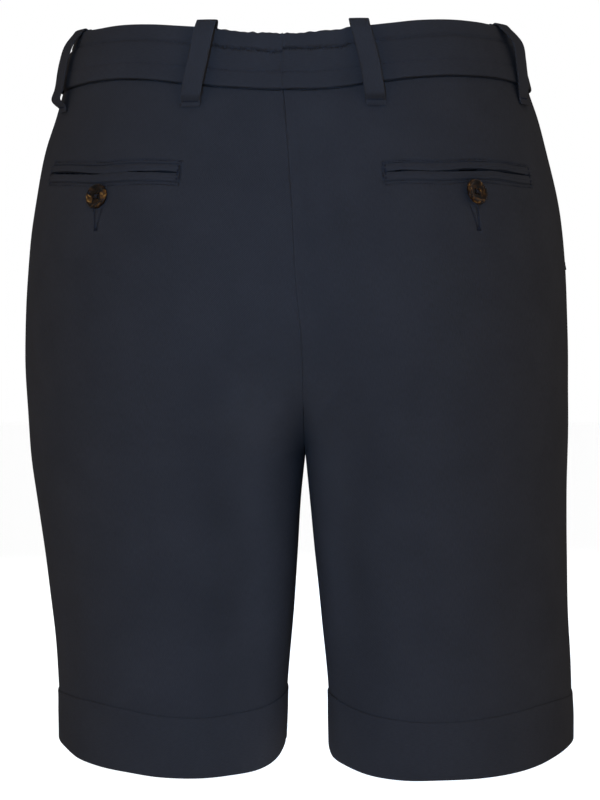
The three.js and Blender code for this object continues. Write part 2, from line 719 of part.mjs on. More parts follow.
sewOn("waist_button", buttonShape.clone(), 1, buttonAcross, 0, tabTop + LAID_ON);

export default shorts;
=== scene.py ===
import math

import bmesh
import bpy
import numpy as np
from mathutils import Matrix, Vector


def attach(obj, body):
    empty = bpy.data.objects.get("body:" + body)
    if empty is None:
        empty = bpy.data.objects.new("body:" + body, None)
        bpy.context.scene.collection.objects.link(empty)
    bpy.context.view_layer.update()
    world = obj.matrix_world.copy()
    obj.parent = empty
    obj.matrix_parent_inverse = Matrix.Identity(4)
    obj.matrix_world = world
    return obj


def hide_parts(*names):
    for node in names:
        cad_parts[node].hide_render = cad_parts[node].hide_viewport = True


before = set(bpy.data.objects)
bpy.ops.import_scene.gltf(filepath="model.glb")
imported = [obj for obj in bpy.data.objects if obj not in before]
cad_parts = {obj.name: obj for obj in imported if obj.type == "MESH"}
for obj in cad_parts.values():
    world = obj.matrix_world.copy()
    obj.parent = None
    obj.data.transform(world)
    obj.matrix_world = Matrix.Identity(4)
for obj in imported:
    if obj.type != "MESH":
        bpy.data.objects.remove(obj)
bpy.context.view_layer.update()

MM = 0.001

# The form: the same named levels and tables as the solids

BAND_CLOTH = 2.2
CUFF_CLOTH = 1.9
TRIM_CLOTH = 1.2
LOOP_CLOTH = 1.4
PANEL_CLOTH = 0.9
PLAY = 0.15
SEAM_PLAY = 0.04
LAID_ON = 0.35
BAND_GAP = LAID_ON + 0.1

BAND_TOP = 21.5
WAIST_SEAM = -20.5
PANEL_TUCK = 9
SEAT_TURN = -185
OUTER_AT_CROTCH = -258
CROTCH = -276
PANEL_IN_CUFF = 1.6

FULL_BACK = 0.22
SIDE_SEAM = 0.5
FULL_FRONT = 0.78
INSEAM_Y = 4
SIDE_POWER = 2 / 2.15
RING_LENGTH = 600


def curve(heights, values):
    """Smooth curve through values at falling heights, straight beyond its ends."""
    heights, values = np.array(heights, float), np.array(values, float)
    span = np.diff(heights)
    rise = np.diff(values) / span
    inner = (rise[:-1] * span[1:] + rise[1:] * span[:-1]) / (span[:-1] + span[1:])
    slope = np.concatenate((rise[:1], inner, rise[-1:]))

    def at(z):
        z = np.asarray(z, float)
        k = np.clip(np.searchsorted(-heights, -z, side="right") - 1, 0, len(span) - 1)
        s = np.clip((z - heights[k]) / span[k], 0, 1)
        turn = s * s * (3 - 2 * s)
        between = values[k] * (1 - turn) + values[k + 1] * turn
        between += span[k] * s * (1 - s) * (slope[k] * (1 - s) - slope[k + 1] * s)
        above = slope[0] * np.maximum(z - heights[0], 0)
        below = slope[-1] * np.minimum(z - heights[-1], 0)
        return between + above + below

    return at


def table(names, *rows):
    columns = np.array(rows, float).T
    return {name: curve(columns[0], columns[i]) for i, name in enumerate(names) if i}


BODY = table(
    ("z", "left", "right", "back", "back_at", "front", "front_at"),
    (21, 153, 152.5, 103, 0.28, -105, 0.3),
    (0, 161.8, 161.5, 106, 0.29, -107.5, 0.31),
    (-21, 167, 167.5, 109, 0.31, -110, 0.32),
    (-40, 172, 174, 115, 0.33, -113, 0.34),
    (-60, 178.3, 179.5, 120, 0.36, -114, 0.36),
    (-110, 187.3, 190.3, 134, 0.4, -116, 0.4),
    (-160, 192, 195, 141, 0.43, -115, 0.43),
    (-210, 194.2, 197, 138, 0.46, -113, 0.46),
    (-250, 192.4, 197, 130, 0.48, -111, 0.48),
    (-276, 190.2, 196.6, 123, 0.5, -109, 0.5),
    (-310, 186, 195.8, 115, 0.5, -107, 0.5),
    (-350, 180.4, 196.1, 108, 0.5, -104, 0.5),
    (-400, 174.6, 197.7, 101, 0.5, -100, 0.5),
    (-450, 171, 199.8, 96, 0.5, -96, 0.5),
    (-487, 170, 200, 94, 0.5, -94, 0.5),
)
SEAM = table(
    ("z", "back_x", "front_x", "back_flat", "front_flat", "round"),
    (21, 0, 0, 0.72, 0.8, 0.3),
    (-21, -0.5, 0, 0.7, 0.8, 0.3),
    (-60, -4, -1, 0.66, 0.78, 0.3),
    (-110, -8, -3, 0.57, 0.76, 0.3),
    (-160, -11, -4.5, 0.5, 0.72, 0.3),
    (-185, -13.5, -5.5, 0.46, 0.66, 0.27),
    (-205, -14.5, -6, 0.41, 0.56, 0.18),
    (-230, -13.5, -7, 0.3, 0.38, 0.06),
    (-246, -12, -7.4, 0.18, 0.22, 0),
    (-256, -10.8, -7.6, 0.1, 0.12, 0),
    (-266, -9.4, -7.8, 0.035, 0.04, 0),
    (-276, -8, -8, 0, 0, 0),
)
INSEAM = table(
    ("z", "left", "right"),
    (-276, -8, -8),
    (-310, -4.4, -11.2),
    (-350, -2, -15.2),
    (-400, 1.4, -20.2),
    (-450, 5.6, -25),
    (-487, 7.4, -26),
)

# The waistband's edges behind, which sink at the centre
BAND_EDGE = table(
    ("across", "top_left", "top_right", "seam_left", "seam_right"),
    (0.5, BAND_TOP, BAND_TOP, WAIST_SEAM, WAIST_SEAM),
    (0.45, 20.6, 21.5, -20.6, -19.2),
    (0.405, 19.8, 21.6, -20, -17.2),
    (0.375, 19.6, 22, -19, -16.4),
    (0.345, 20.1, 22.1, -18, -16.5),
    (0.315, 19.9, 21.4, -17.7, -16.9),
    (0.29, 19.1, 20.3, -18.5, -18),
    (0.265, 17.7, 18.4, -20.1, -19.6),
    (0.24, 16.4, 16.6, -22.2, -21.8),
    (0.205, 14.3, 14.4, -24.1, -24.3),
    (0.16, 13.3, 13.4, -25.1, -25.6),
    (0.1, 12.3, 12.3, -26.1, -26.6),
    (0.05, 11.9, 11.9, -26.5, -26.6),
    (0, 11.8, 11.8, -26.5, -26.5),
)

# Upper edge of each turn-up and the hem, which hang lower behind than in front
LEG_END = table(
    ("across", "cuff_left", "cuff_right", "hem_left", "hem_right"),
    (1, -450, -450, -488, -488),
    (0.95, -448.5, -448.5, -485.5, -485.5),
    (0.85, -447, -447, -483.5, -483.5),
    (0.7, -447, -447, -483, -483),
    (0.58, -448.5, -448.5, -483.6, -483.4),
    (0.5, -449, -450, -484.5, -484),
    (0.45, -448.6, -449.4, -485.1, -485),
    (0.4, -448, -448.6, -487.3, -487.8),
    (0.36, -448, -449.7, -491.4, -491.4),
    (0.31, -449.2, -452.8, -494.4, -495.1),
    (0.26, -452.4, -456, -496.7, -497.4),
    (0.21, -456.6, -458.5, -499.7, -498.9),
    (0.17, -458.2, -458.4, -501, -500.4),
    (0.13, -457.2, -456.4, -500.9, -499.9),
    (0.08, -456, -452.6, -500.2, -496.6),
    (0.04, -453.2, -449.6, -496.4, -494.2),
    (0, -450, -449, -488, -488),
)

# Height of each back pocket's mouth at a distance from the middle
POCKET_LINE = {
    "left": table(
        ("x", "z"),
        (165, -81.3),
        (154, -81.8),
        (141, -82.7),
        (128, -83.7),
        (120, -83.8),
        (113, -83.3),
        (104, -82.8),
        (93, -83),
        (82, -83.2),
        (71, -83.8),
    ),
    "right": table(
        ("x", "z"),
        (168, -84.2),
        (160, -83.8),
        (152, -83),
        (145, -82.1),
        (136, -82),
        (126, -82.2),
        (115, -83),
        (100, -83.4),
        (88, -83.1),
        (78, -83.5),
        (70, -84.1),
    ),
}

# Soft folds: side, place on the half ring, shift down its length, top, bottom, width and depth
FOLDS = (
    (1, 0.12, -0.02, -262, -470, 20, -2.6),
    (1, 0.235, 0.01, -215, -450, 24, 1.6),
    (1, 0.37, 0.015, -285, -455, 26, -2.2),
    (1, 0.45, -0.03, -120, -300, 18, -1.4),
    (1, 0.16, -0.11, -198, -262, 10, -1.3),
    (-1, 0.1, 0.02, -268, -455, 18, -2.4),
    (-1, 0.2, 0.02, -225, -460, 26, 1.8),
    (-1, 0.34, -0.01, -300, -465, 24, -2),
    (-1, 0.46, 0, -150, -330, 20, -1.6),
    (-1, 0.13, -0.08, -205, -266, 9, -1.2),
    (1, 0.62, 0.27, -120, -252, 9, -1.5),
    (-1, 0.64, 0.25, -112, -248, 9, -1.4),
    (1, 0.7, 0.2, -165, -266, 10, -1.6),
    (-1, 0.69, 0.21, -172, -268, 10, -1.5),
    (1, 0.88, 0, -280, -470, 22, -2.2),
    (-1, 0.87, 0.01, -275, -460, 20, -2.4),
    (1, 0.65, 0.02, -300, -470, 26, -1.8),
    (-1, 0.63, 0.02, -310, -465, 26, -1.9),
)


def blend(a, b, share):
    return a + (b - a) * share


def ease(value, start, end):
    s = np.clip((value - start) / (end - start), 0, 1)
    return s * s * (3 - 2 * s)


def plain_point(side, across, z):
    """Cloth surface without folds, for a half (1 is the wearer's left), a half ring's share and a height."""
    across, z = np.broadcast_arrays(np.asarray(across, float), np.asarray(z, float))
    behind = across < SIDE_SEAM
    torso = z >= CROTCH
    seam_x = np.where(behind, SEAM["back_x"](z), SEAM["front_x"](z))
    inner = np.where(torso, seam_x, INSEAM["left" if side > 0 else "right"](z))
    side_x = side * BODY["left" if side > 0 else "right"](z)
    full_y = np.where(behind, BODY["back"](z), BODY["front"](z))
    full_x = blend(inner, side_x, np.where(behind, BODY["back_at"](z), BODY["front_at"](z)))
    full_at = np.where(behind, FULL_BACK, FULL_FRONT)
    to_full = (across - np.where(behind, 0, 1)) / np.where(behind, FULL_BACK, FULL_FRONT - 1)
    inside = to_full < 1

    t = np.clip(to_full, 0, 1)
    flat = np.where(torso, np.where(behind, SEAM["back_flat"](z), SEAM["front_flat"](z)), 0)
    soft = np.where(torso, SEAM["round"](z), 0)
    turn = 1 - flat
    w = flat * t + turn * (1 - np.cos(t * math.pi / 2))
    bridged = np.sqrt(w**2 + (soft * (1 - w**2)) ** 2)
    depth = np.sqrt(np.maximum(0, 1 - (turn * (1 - bridged)) ** 2))

    angle = np.clip((across - full_at) / (SIDE_SEAM - full_at), 0, 1) * math.pi / 2
    outward = np.sin(angle) ** SIDE_POWER
    to_back = np.maximum(np.cos(angle), 0) ** SIDE_POWER
    x = np.where(inside, blend(inner, full_x, w), blend(full_x, side_x, outward))
    y = np.where(inside, blend(INSEAM_Y, full_y, depth), full_y * to_back)
    return np.stack((x, y, z), -1)


def outward(side, across, z):
    across, z = np.broadcast_arrays(np.asarray(across, float), np.asarray(z, float))
    low, high = np.maximum(0, across - 0.004), np.minimum(1, across + 0.004)
    torso = z >= CROTCH
    up = np.where(torso, z + 1.5, np.minimum(CROTCH - 0.01, z + 1.5))
    down = np.where(torso, np.maximum(CROTCH, z - 1.5), z - 1.5)
    along = plain_point(side, high, z) - plain_point(side, low, z)
    fall = plain_point(side, across, down) - plain_point(side, across, up)
    normal = np.cross(along, fall) * side
    return normal / np.linalg.norm(normal, axis=-1, keepdims=True)


def fold_depth(side, across, z):
    depth = np.zeros(np.broadcast(across, z).shape)
    for half, place, lean, top, bottom, width, deep in FOLDS:
        if half != side:
            continue
        share = np.clip((top - z) / (top - bottom), 0, 1)
        off = (across - place - lean * share) * RING_LENGTH / width
        depth = depth + deep * np.sin(math.pi * share) ** 2 * np.exp(-(off**2))
    return depth * ease(np.minimum(across, 1 - across), 0.01, 0.06)


def ripple(side, across, z):
    """Faint unevenness of worn cloth, a few tenths of a millimetre."""
    s = across * RING_LENGTH + 37 * side
    waves = np.sin(s / 17 + z / 41 + 1.3 * np.sin(z / 53)) * np.sin(z / 29 - s / 61)
    return 0.28 * waves + 0.16 * np.sin(s / 9.1 - z / 23) * np.sin(z / 13.7 + s / 31)


def cloth_point(side, across, z, lift):
    """Cloth surface with its folds, moved out by lift, going on over the other half past the centre front."""
    across, z = np.broadcast_arrays(np.asarray(across, float), np.asarray(z, float))

    def on_half(half, place):
        from_seam = ease(np.minimum(place, 1 - place), 0, 0.03)
        out = fold_depth(half, place, z) + ripple(half, place, z) * from_seam + lift
        return plain_point(half, place, z) + outward(half, place, z) * out[..., None]

    near = on_half(side, np.minimum(across, 1))
    if not (across > 1).any():
        return near
    return np.where((across > 1)[..., None], on_half(-side, np.minimum(2 - across, 1)), near)


def across_at(side, x, z, behind):
    """Share of the half ring at which the cloth lies x from the middle, behind or in front."""
    x, z = np.broadcast_arrays(np.asarray(x, float), np.asarray(z, float))
    inner, outer = np.full(x.shape, 0.0 if behind else 1.0), np.full(x.shape, SIDE_SEAM)
    for _ in range(30):
        middle = (inner + outer) / 2
        near = plain_point(side, middle, z)[..., 0] * side < x
        inner, outer = np.where(near, middle, inner), np.where(near, outer, middle)
    return (inner + outer) / 2


def word_of(side):
    return "left" if side > 0 else "right"


def band_edge_at(edge, side, across, in_front):
    behind = BAND_EDGE[edge + "_" + word_of(side)](np.minimum(across, SIDE_SEAM))
    return np.where(across < SIDE_SEAM, behind, in_front)


def seam_at(side, across):
    return band_edge_at("seam", side, across, WAIST_SEAM)


def band_top_at(side, across):
    return band_edge_at("top", side, across, BAND_TOP)


def hem_at(side, across):
    return LEG_END["hem_" + word_of(side)](across)


def cuff_top_at(side, across):
    return LEG_END["cuff_" + word_of(side)](across)


# Mesh makers


def piece(name, bm, material, nodes=()):
    """Ends a bmesh as an object that rides on the frame and stands for the named solids."""
    mesh = bpy.data.meshes.new(name)
    bm.to_mesh(mesh)
    bm.free()
    mesh.materials.append(material)
    mesh.set_sharp_from_angle(angle=math.radians(50))
    obj = bpy.data.objects.new(name, mesh)
    bpy.context.scene.collection.objects.link(obj)
    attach(obj, "root")
    if nodes:
        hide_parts(*nodes)
    return obj


def sheet_grid(points, flip, weld=False, cap=False):
    """A grid of cloth laid on points, rows by columns, with its weave's coordinates in metres."""
    rows, columns = points.shape[:2]
    bm = bmesh.new()
    bmesh.ops.create_grid(bm, x_segments=columns - 1, y_segments=rows - 1, size=1)
    for vert, place in zip(bm.verts, points.reshape(-1, 3) * MM):
        vert.co = place
    along = np.linalg.norm(np.diff(points, axis=1), axis=-1).cumsum(1)
    down = np.linalg.norm(np.diff(points, axis=0), axis=-1).cumsum(0)
    u = np.concatenate((np.zeros((rows, 1)), along), 1) * MM
    v = np.concatenate((np.zeros((1, columns)), down), 0) * MM
    weave = np.stack((u - u[:, columns // 2 : columns // 2 + 1], -v), -1).reshape(-1, 2)
    layer = bm.loops.layers.uv.new("weave")
    for face in bm.faces:
        face.smooth = True
        for loop in face.loops:
            loop[layer].uv = weave[loop.vert.index]
    if weld:
        bmesh.ops.remove_doubles(bm, verts=bm.verts, dist=1e-6)
    if cap:
        ends = [edge for edge in bm.edges if edge.is_boundary]
        bmesh.ops.holes_fill(bm, edges=ends, sides=0)
    if weld:
        bmesh.ops.recalc_face_normals(bm, faces=bm.faces)
    elif flip:
        bmesh.ops.reverse_faces(bm, faces=bm.faces)
    return bm


def thicken(obj, thickness):
    """Gives a single layer its cloth thickness, inwards."""
    solid = obj.modifiers.new("thickness", "SOLIDIFY")
    solid.thickness = thickness * MM
    solid.offset = -1
    return obj


def folded_section(width, thickness, crown=0.0, steps=10, corner=3):
    """Closed section of a strip folded at both edges: offsets across it and out from what it lies on."""
    half = thickness / 2
    flat = np.linspace(-width / 2 + half, width / 2 - half, steps)
    bend = np.linspace(90, -90, corner + 2)[1:-1] * math.pi / 180
    top = [(a, half + half * 0.98 + crown * math.cos(math.pi * a / width)) for a in flat]
    right = [(width / 2 - half + half * math.cos(b), half + half * math.sin(b)) for b in bend]
    under = [(a, 0.0) for a in flat[::-1]]
    left = [(-a, h) for a, h in reversed(right)]
    section = top + right + under + left
    return np.array(section + section[:1])


STITCH = {"long": 2.5, "gap": 0.7, "wide": 0.42, "high": 0.3}


def walk(points, spacing):
    """Even steps along a polyline: centres and unit directions, and each one's share of the length."""
    lengths = np.concatenate(([0], np.linalg.norm(np.diff(points, axis=0), axis=-1).cumsum()))
    count = max(1, int(lengths[-1] / spacing))
    stops = (np.arange(count) + 0.5) * lengths[-1] / count
    centre = np.stack([np.interp(stops, lengths, points[:, i]) for i in range(3)], -1)
    ahead = np.stack([np.interp(stops + 0.5, lengths, points[:, i]) for i in range(3)], -1)
    behind = np.stack([np.interp(stops - 0.5, lengths, points[:, i]) for i in range(3)], -1)
    way = ahead - behind
    return centre, way / np.linalg.norm(way, axis=-1, keepdims=True), stops / lengths[-1]


def add_stitch(bm, centre, way, facing, long, wide, high):
    side = np.cross(facing, way)
    side = side / np.linalg.norm(side)
    up = np.cross(way, side)
    axes = np.array([way * long / 2, side * wide / 2, up * high / 2]) * MM
    matrix = Matrix.Translation(Vector(centre * MM)) @ Matrix(axes.T.tolist()).to_4x4()
    bmesh.ops.create_uvsphere(bm, u_segments=6, v_segments=4, radius=1, matrix=matrix)


def sew(bm, points, facing, kind=STITCH, turn=0.0):
    """Adds a row of stitches along points. For bar-tacks and buttonholes, turn swings each off the row."""
    centres, ways, shares = walk(points, kind["long"] + kind["gap"] if turn == 0 else kind["gap"])
    index = shares * (len(points) - 1)
    for centre, way, at in zip(centres, ways, index):
        out = facing[min(len(facing) - 1, int(round(at)))]
        if turn:
            way = np.array(Matrix.Rotation(turn, 3, Vector(out)) @ Vector(way))
        add_stitch(bm, centre + out * kind["high"] * 0.3, way, out, kind["long"], kind["wide"], kind["high"])


def cloth_line(side, across, z, lift):
    """Points and facings of a line drawn on the cloth."""
    return cloth_point(side, across, z, lift), outward(side, np.minimum(across, 1), z)


# Finishes


def node_material(name, roughness):
    material = bpy.data.materials.new(name)
    material.use_nodes = True
    nodes, links = material.node_tree.nodes, material.node_tree.links
    shader = nodes["Principled BSDF"]
    shader.inputs["Roughness"].default_value = roughness

    def add(kind, **settings):
        node = nodes.new(kind)
        for key, value in settings.items():
            if key in node.inputs:
                node.inputs[key].default_value = value
            else:
                setattr(node, key, value)
        return node

    return material, shader, add, links


def ramp(add, *stops):
    node = add("ShaderNodeValToRGB")
    elements = node.color_ramp.elements
    while len(elements) < len(stops):
        elements.new(0.5)
    for element, (place, colour) in zip(elements, stops):
        element.position = place
        element.color = (*colour, 1)
    return node


# Painted light on the inner legs, against the shade they cast on each other: the line between them, how far
# from it and how low the cloth is painted paler
INNER_LEG_LIGHT = {"middle": -0.004, "far": 0.055, "near": 0.012, "from": -0.2, "full": -0.275, "most": 0.62}


def inner_leg_painted_light(add, links, body):
    """Factor on the cloth's colour, over 1 on the inner faces of the legs: painted light that lifts the shade
    between them.
    """
    place = add("ShaderNodeSeparateXYZ")
    links.new(body.outputs["Object"], place.inputs["Vector"])
    beside = add("ShaderNodeMath", operation="ADD")
    beside.inputs[1].default_value = -INNER_LEG_LIGHT["middle"]
    links.new(place.outputs["X"], beside.inputs[0])
    away = add("ShaderNodeMath", operation="ABSOLUTE")
    links.new(beside.outputs["Value"], away.inputs[0])
    factor = add("ShaderNodeMath", operation="MULTIPLY_ADD")
    factor.inputs[2].default_value = 1
    for slot, source, start, end, most in (
        (0, away.outputs["Value"], INNER_LEG_LIGHT["far"], INNER_LEG_LIGHT["near"], INNER_LEG_LIGHT["most"]),
        (1, place.outputs["Z"], INNER_LEG_LIGHT["from"], INNER_LEG_LIGHT["full"], 1),
    ):
        grade = add("ShaderNodeMapRange", interpolation_type="SMOOTHSTEP")
        for key, value in (("From Min", start), ("From Max", end), ("To Min", 0), ("To Max", most)):
            grade.inputs[key].default_value = value
        links.new(source, grade.inputs["Value"])
        links.new(grade.outputs["Result"], factor.inputs[slot])
    return factor.outputs["Value"]


def navy_cloth(name, dark, light, weave_depth=0.00006):
    """Smooth close twill in dark navy: fine diagonal wales, slubs, soft shade variation and a faint bloom."""
    material, shader, add, links = node_material(name, 0.85)
    shader.inputs["Specular IOR Level"].default_value = 0
    shader.inputs["Sheen Weight"].default_value = 0.004
    shader.inputs["Sheen Roughness"].default_value = 0.5
    shader.inputs["Sheen Tint"].default_value = (1, 0.93, 0.88, 1)
    weave = add("ShaderNodeUVMap", uv_map="weave")
    body = add("ShaderNodeTexCoord")
    shade = add("ShaderNodeTexNoise", Scale=26.0, Detail=5.0, Roughness=0.6)
    links.new(body.outputs["Object"], shade.inputs["Vector"])
    tone = ramp(add, (0.3, dark), (0.7, light))
    links.new(shade.outputs["Fac"], tone.inputs["Fac"])

    stretch = add("ShaderNodeMapping")
    stretch.inputs["Scale"].default_value = (2600, 260, 1)
    links.new(weave.outputs["UV"], stretch.inputs["Vector"])
    slub = add("ShaderNodeTexNoise", Scale=1.0, Detail=2.0)
    links.new(stretch.outputs["Vector"], slub.inputs["Vector"])
    slub_tone = ramp(add, (0.35, (0.88, 0.88, 0.88)), (0.7, (1.12, 1.12, 1.12)))
    links.new(slub.outputs["Fac"], slub_tone.inputs["Fac"])
    colour = add("ShaderNodeMix", data_type="RGBA", blend_type="MULTIPLY")
    colour.inputs[0].default_value = 1
    links.new(tone.outputs["Color"], colour.inputs[6])
    links.new(slub_tone.outputs["Color"], colour.inputs[7])
    # Painted light: the cloth's colour raised on the inner legs, where they shade each other
    lightened = add("ShaderNodeVectorMath", operation="SCALE")
    links.new(colour.outputs[2], lightened.inputs[0])
    links.new(inner_leg_painted_light(add, links, body), lightened.inputs["Scale"])
    links.new(lightened.outputs["Vector"], shader.inputs["Base Color"])

    turned = add("ShaderNodeMapping")
    turned.inputs["Rotation"].default_value = (0, 0, math.radians(58))
    links.new(weave.outputs["UV"], turned.inputs["Vector"])
    wales = add("ShaderNodeTexWave", Scale=330.0, Distortion=0.6, Detail=1.0)
    links.new(turned.outputs["Vector"], wales.inputs["Vector"])
    bump = add("ShaderNodeBump", Strength=0.5, Distance=weave_depth)
    links.new(wales.outputs["Fac"], bump.inputs["Height"])
    fuzz = add("ShaderNodeTexNoise", Scale=900.0, Detail=3.0)
    links.new(body.outputs["Object"], fuzz.inputs["Vector"])
    nap = add("ShaderNodeBump", Strength=0.35, Distance=0.0001)
    links.new(fuzz.outputs["Fac"], nap.inputs["Height"])
    links.new(bump.outputs["Normal"], nap.inputs["Normal"])
    links.new(nap.outputs["Normal"], shader.inputs["Normal"])
    return material


def thread(name, colour):
    material, shader, add, links = node_material(name, 0.8)
    shader.inputs["Specular IOR Level"].default_value = 0
    body = add("ShaderNodeTexCoord")
    fibre = add("ShaderNodeTexNoise", Scale=1800.0, Detail=2.0)
    links.new(body.outputs["Object"], fibre.inputs["Vector"])
    tone = ramp(add, (0.3, [c * 0.8 for c in colour]), (0.7, [c * 1.25 for c in colour]))
    links.new(fibre.outputs["Fac"], tone.inputs["Fac"])
    links.new(tone.outputs["Color"], shader.inputs["Base Color"])
    bump = add("ShaderNodeBump", Strength=0.4, Distance=0.0001)
    links.new(fibre.outputs["Fac"], bump.inputs["Height"])
    links.new(bump.outputs["Normal"], shader.inputs["Normal"])
    return material


def mottled_horn(name):
    """Polished brown resin, clouded from near black to amber."""
    material, shader, add, links = node_material(name, 0.22)
    shader.inputs["Specular IOR Level"].default_value = 0.05
    body = add("ShaderNodeTexCoord")
    cloud = add("ShaderNodeTexNoise", Scale=105.0, Detail=3.0, Roughness=0.55, Distortion=2.6)
    links.new(body.outputs["Object"], cloud.inputs["Vector"])
    tone = ramp(
        add,
        (0.38, (0.0015, 0.001, 0.0006)),
        (0.51, (0.007, 0.0025, 0.0007)),
        (0.61, (0.035, 0.014, 0.003)),
        (0.73, (0.16, 0.075, 0.018)),
    )
    links.new(cloud.outputs["Fac"], tone.inputs["Fac"])
    links.new(tone.outputs["Color"], shader.inputs["Base Color"])
    worn = add("ShaderNodeTexNoise", Scale=800.0, Detail=2.0)
    links.new(body.outputs["Object"], worn.inputs["Vector"])
    rub = add("ShaderNodeMapRange")
    rub.inputs["To Min"].default_value = 0.15
    rub.inputs["To Max"].default_value = 0.34
    links.new(worn.outputs["Fac"], rub.inputs["Value"])
    links.new(rub.outputs["Result"], shader.inputs["Roughness"])
    return material


NAVY_DARK, NAVY_LIGHT = (0.0148, 0.0137, 0.0139), (0.0172, 0.0159, 0.0161)
CLOTH = navy_cloth("navy twill", NAVY_DARK, NAVY_LIGHT)
TRIM = navy_cloth("navy twill, folded trim", NAVY_DARK, NAVY_LIGHT, 0.00005)
# Pocket bag inside the mouths, coloured near black: painted shadow
POCKET_BAG_PAINTED_SHADOW = navy_cloth("pocket bag, near black as painted shadow in the mouths", (0.002,) * 3, (0.003,) * 3)
# The thread is darker than the cloth: painted shade for the grooves of the stitch rows
THREAD = thread("navy sewing thread, darkened as painted groove shade", (0.0085, 0.0088, 0.0115))
HORN = mottled_horn("mottled brown resin")
BUTTON_THREAD = thread("dark button thread", (0.012, 0.01, 0.01))

# Leg panels

POCKET = {"welt": 5, "mouth": 0.9, "frame_below": 7.8, "frame_beside": 1.3}
POCKET_ENDS = {"left": (68, 165), "right": (70, 168)}
FRAME_ABOVE = {"left": 8.5, "right": 7.5}
MOUTH_DEPTH = 6
SEAM_ROLL = 0.22
# Crevice under the waistband: its middle over the seam, its depth and width, and how much deeper it is
# at a back loop
CREVICE = {"over": 0.45, "deep": 1.7, "wide": 0.75, "at_loop": 0.5, "loop_x": 57, "loop_reach": 15}
# Cloth sunk deeper than this share of the mouth, below the yoke, is the pocket bag, coloured near black as
# painted shadow
MOUTH_SHADOW_FROM, YOKE_FOOT = 0.25, -60
# How far the frame's ends lean: out at the foot and in at the head, over its height
FRAME_LEAN = {"left": (0.1, 0.26), "right": (0.1, 0.2)}
# Slit of each buttonhole: x and z of its top and foot, and how far its lips part at the top
BUTTONHOLE = {"left": (124.3, -107, 125.5, -121.2, 2.5), "right": (130.2, -106.5, 133.3, -121.8, 2)}


def pocket_line(word, x):
    return POCKET_LINE[word]["z"](x)


def groove(distance, depth, width):
    return -depth * np.exp(-((distance / width) ** 2))


def window(value, start, end, soft):
    return ease(value, start - soft, start + soft) * (1 - ease(value, end - soft, end + soft))


def panel_rows(behind):
    """Pairs of part (0 hip, 1 seat, 2 leg) and share of its height, close together round the pocket."""
    hip = np.linspace(0, 1, 60)
    if behind:
        dense = [np.linspace(*part) for part in ((0.042, 0.075, 22), (0.31, 0.5, 66), (0.51, 0.66, 30))]
        hip = np.unique(np.concatenate((hip, *dense)))
    seat, leg = np.linspace(0, 1, 26)[1:], np.linspace(0, 1, 76)[1:]
    part = np.repeat([0, 1, 2], [len(hip), len(seat), len(leg)])
    return part[:, None], np.concatenate((hip, seat, leg))[:, None]


def panel_height(side, part, share, across):
    out = ease(np.minimum(across, 1 - across) / FULL_BACK, 0, 1)
    hip = blend(seam_at(side, across) + PANEL_TUCK, SEAT_TURN, share)
    swing = blend(SEAT_TURN, CROTCH, np.sin(share * math.pi / 2))
    seat = blend(swing, blend(SEAT_TURN, OUTER_AT_CROTCH, share), out)
    leg = blend(blend(CROTCH, OUTER_AT_CROTCH, out), hem_at(side, across) + PANEL_IN_CUFF, share)
    return np.where(part == 0, hip, np.where(part == 1, seat, leg))


def panel_columns(word, side, behind):
    """Places of a panel's columns, close together at its seams, the pocket's ends and the buttonhole."""
    near_edge = np.array([0, 0.0007, 0.0015, 0.0026, 0.0042])
    middle = np.linspace(0.0065, SIDE_SEAM - 0.0065, 84)
    columns = np.concatenate((near_edge, middle, SIDE_SEAM - near_edge[::-1]))
    if not behind:
        return 1 - columns[::-1]
    inner, outer = POCKET_ENDS[word]
    slit = BUTTONHOLE[word][0]
    close = np.concatenate([np.arange(x - r, x + r, 0.6) for x, r in ((inner, 4), (outer, 4), (slit + 1, 7))])
    return np.unique(np.concatenate((columns, across_at(side, close, -95, True))))


def frame_ends(word, height):
    """x of the two ends of the sewn frame, at a height over the mouth."""
    inner, outer = POCKET_ENDS[word]
    lean_in, lean_out = FRAME_LEAN[word]
    beside = POCKET["frame_beside"]
    return inner - beside - lean_in * (height - 8), outer + beside - lean_out * (height + 8)


def row_drift(side, x):
    """Unevenness of the frame's rows, as hand-guided sewing leaves it."""
    return 0.22 * np.sin(x / 6.3) + 0.15 * np.sin(x / 2.9 + side)


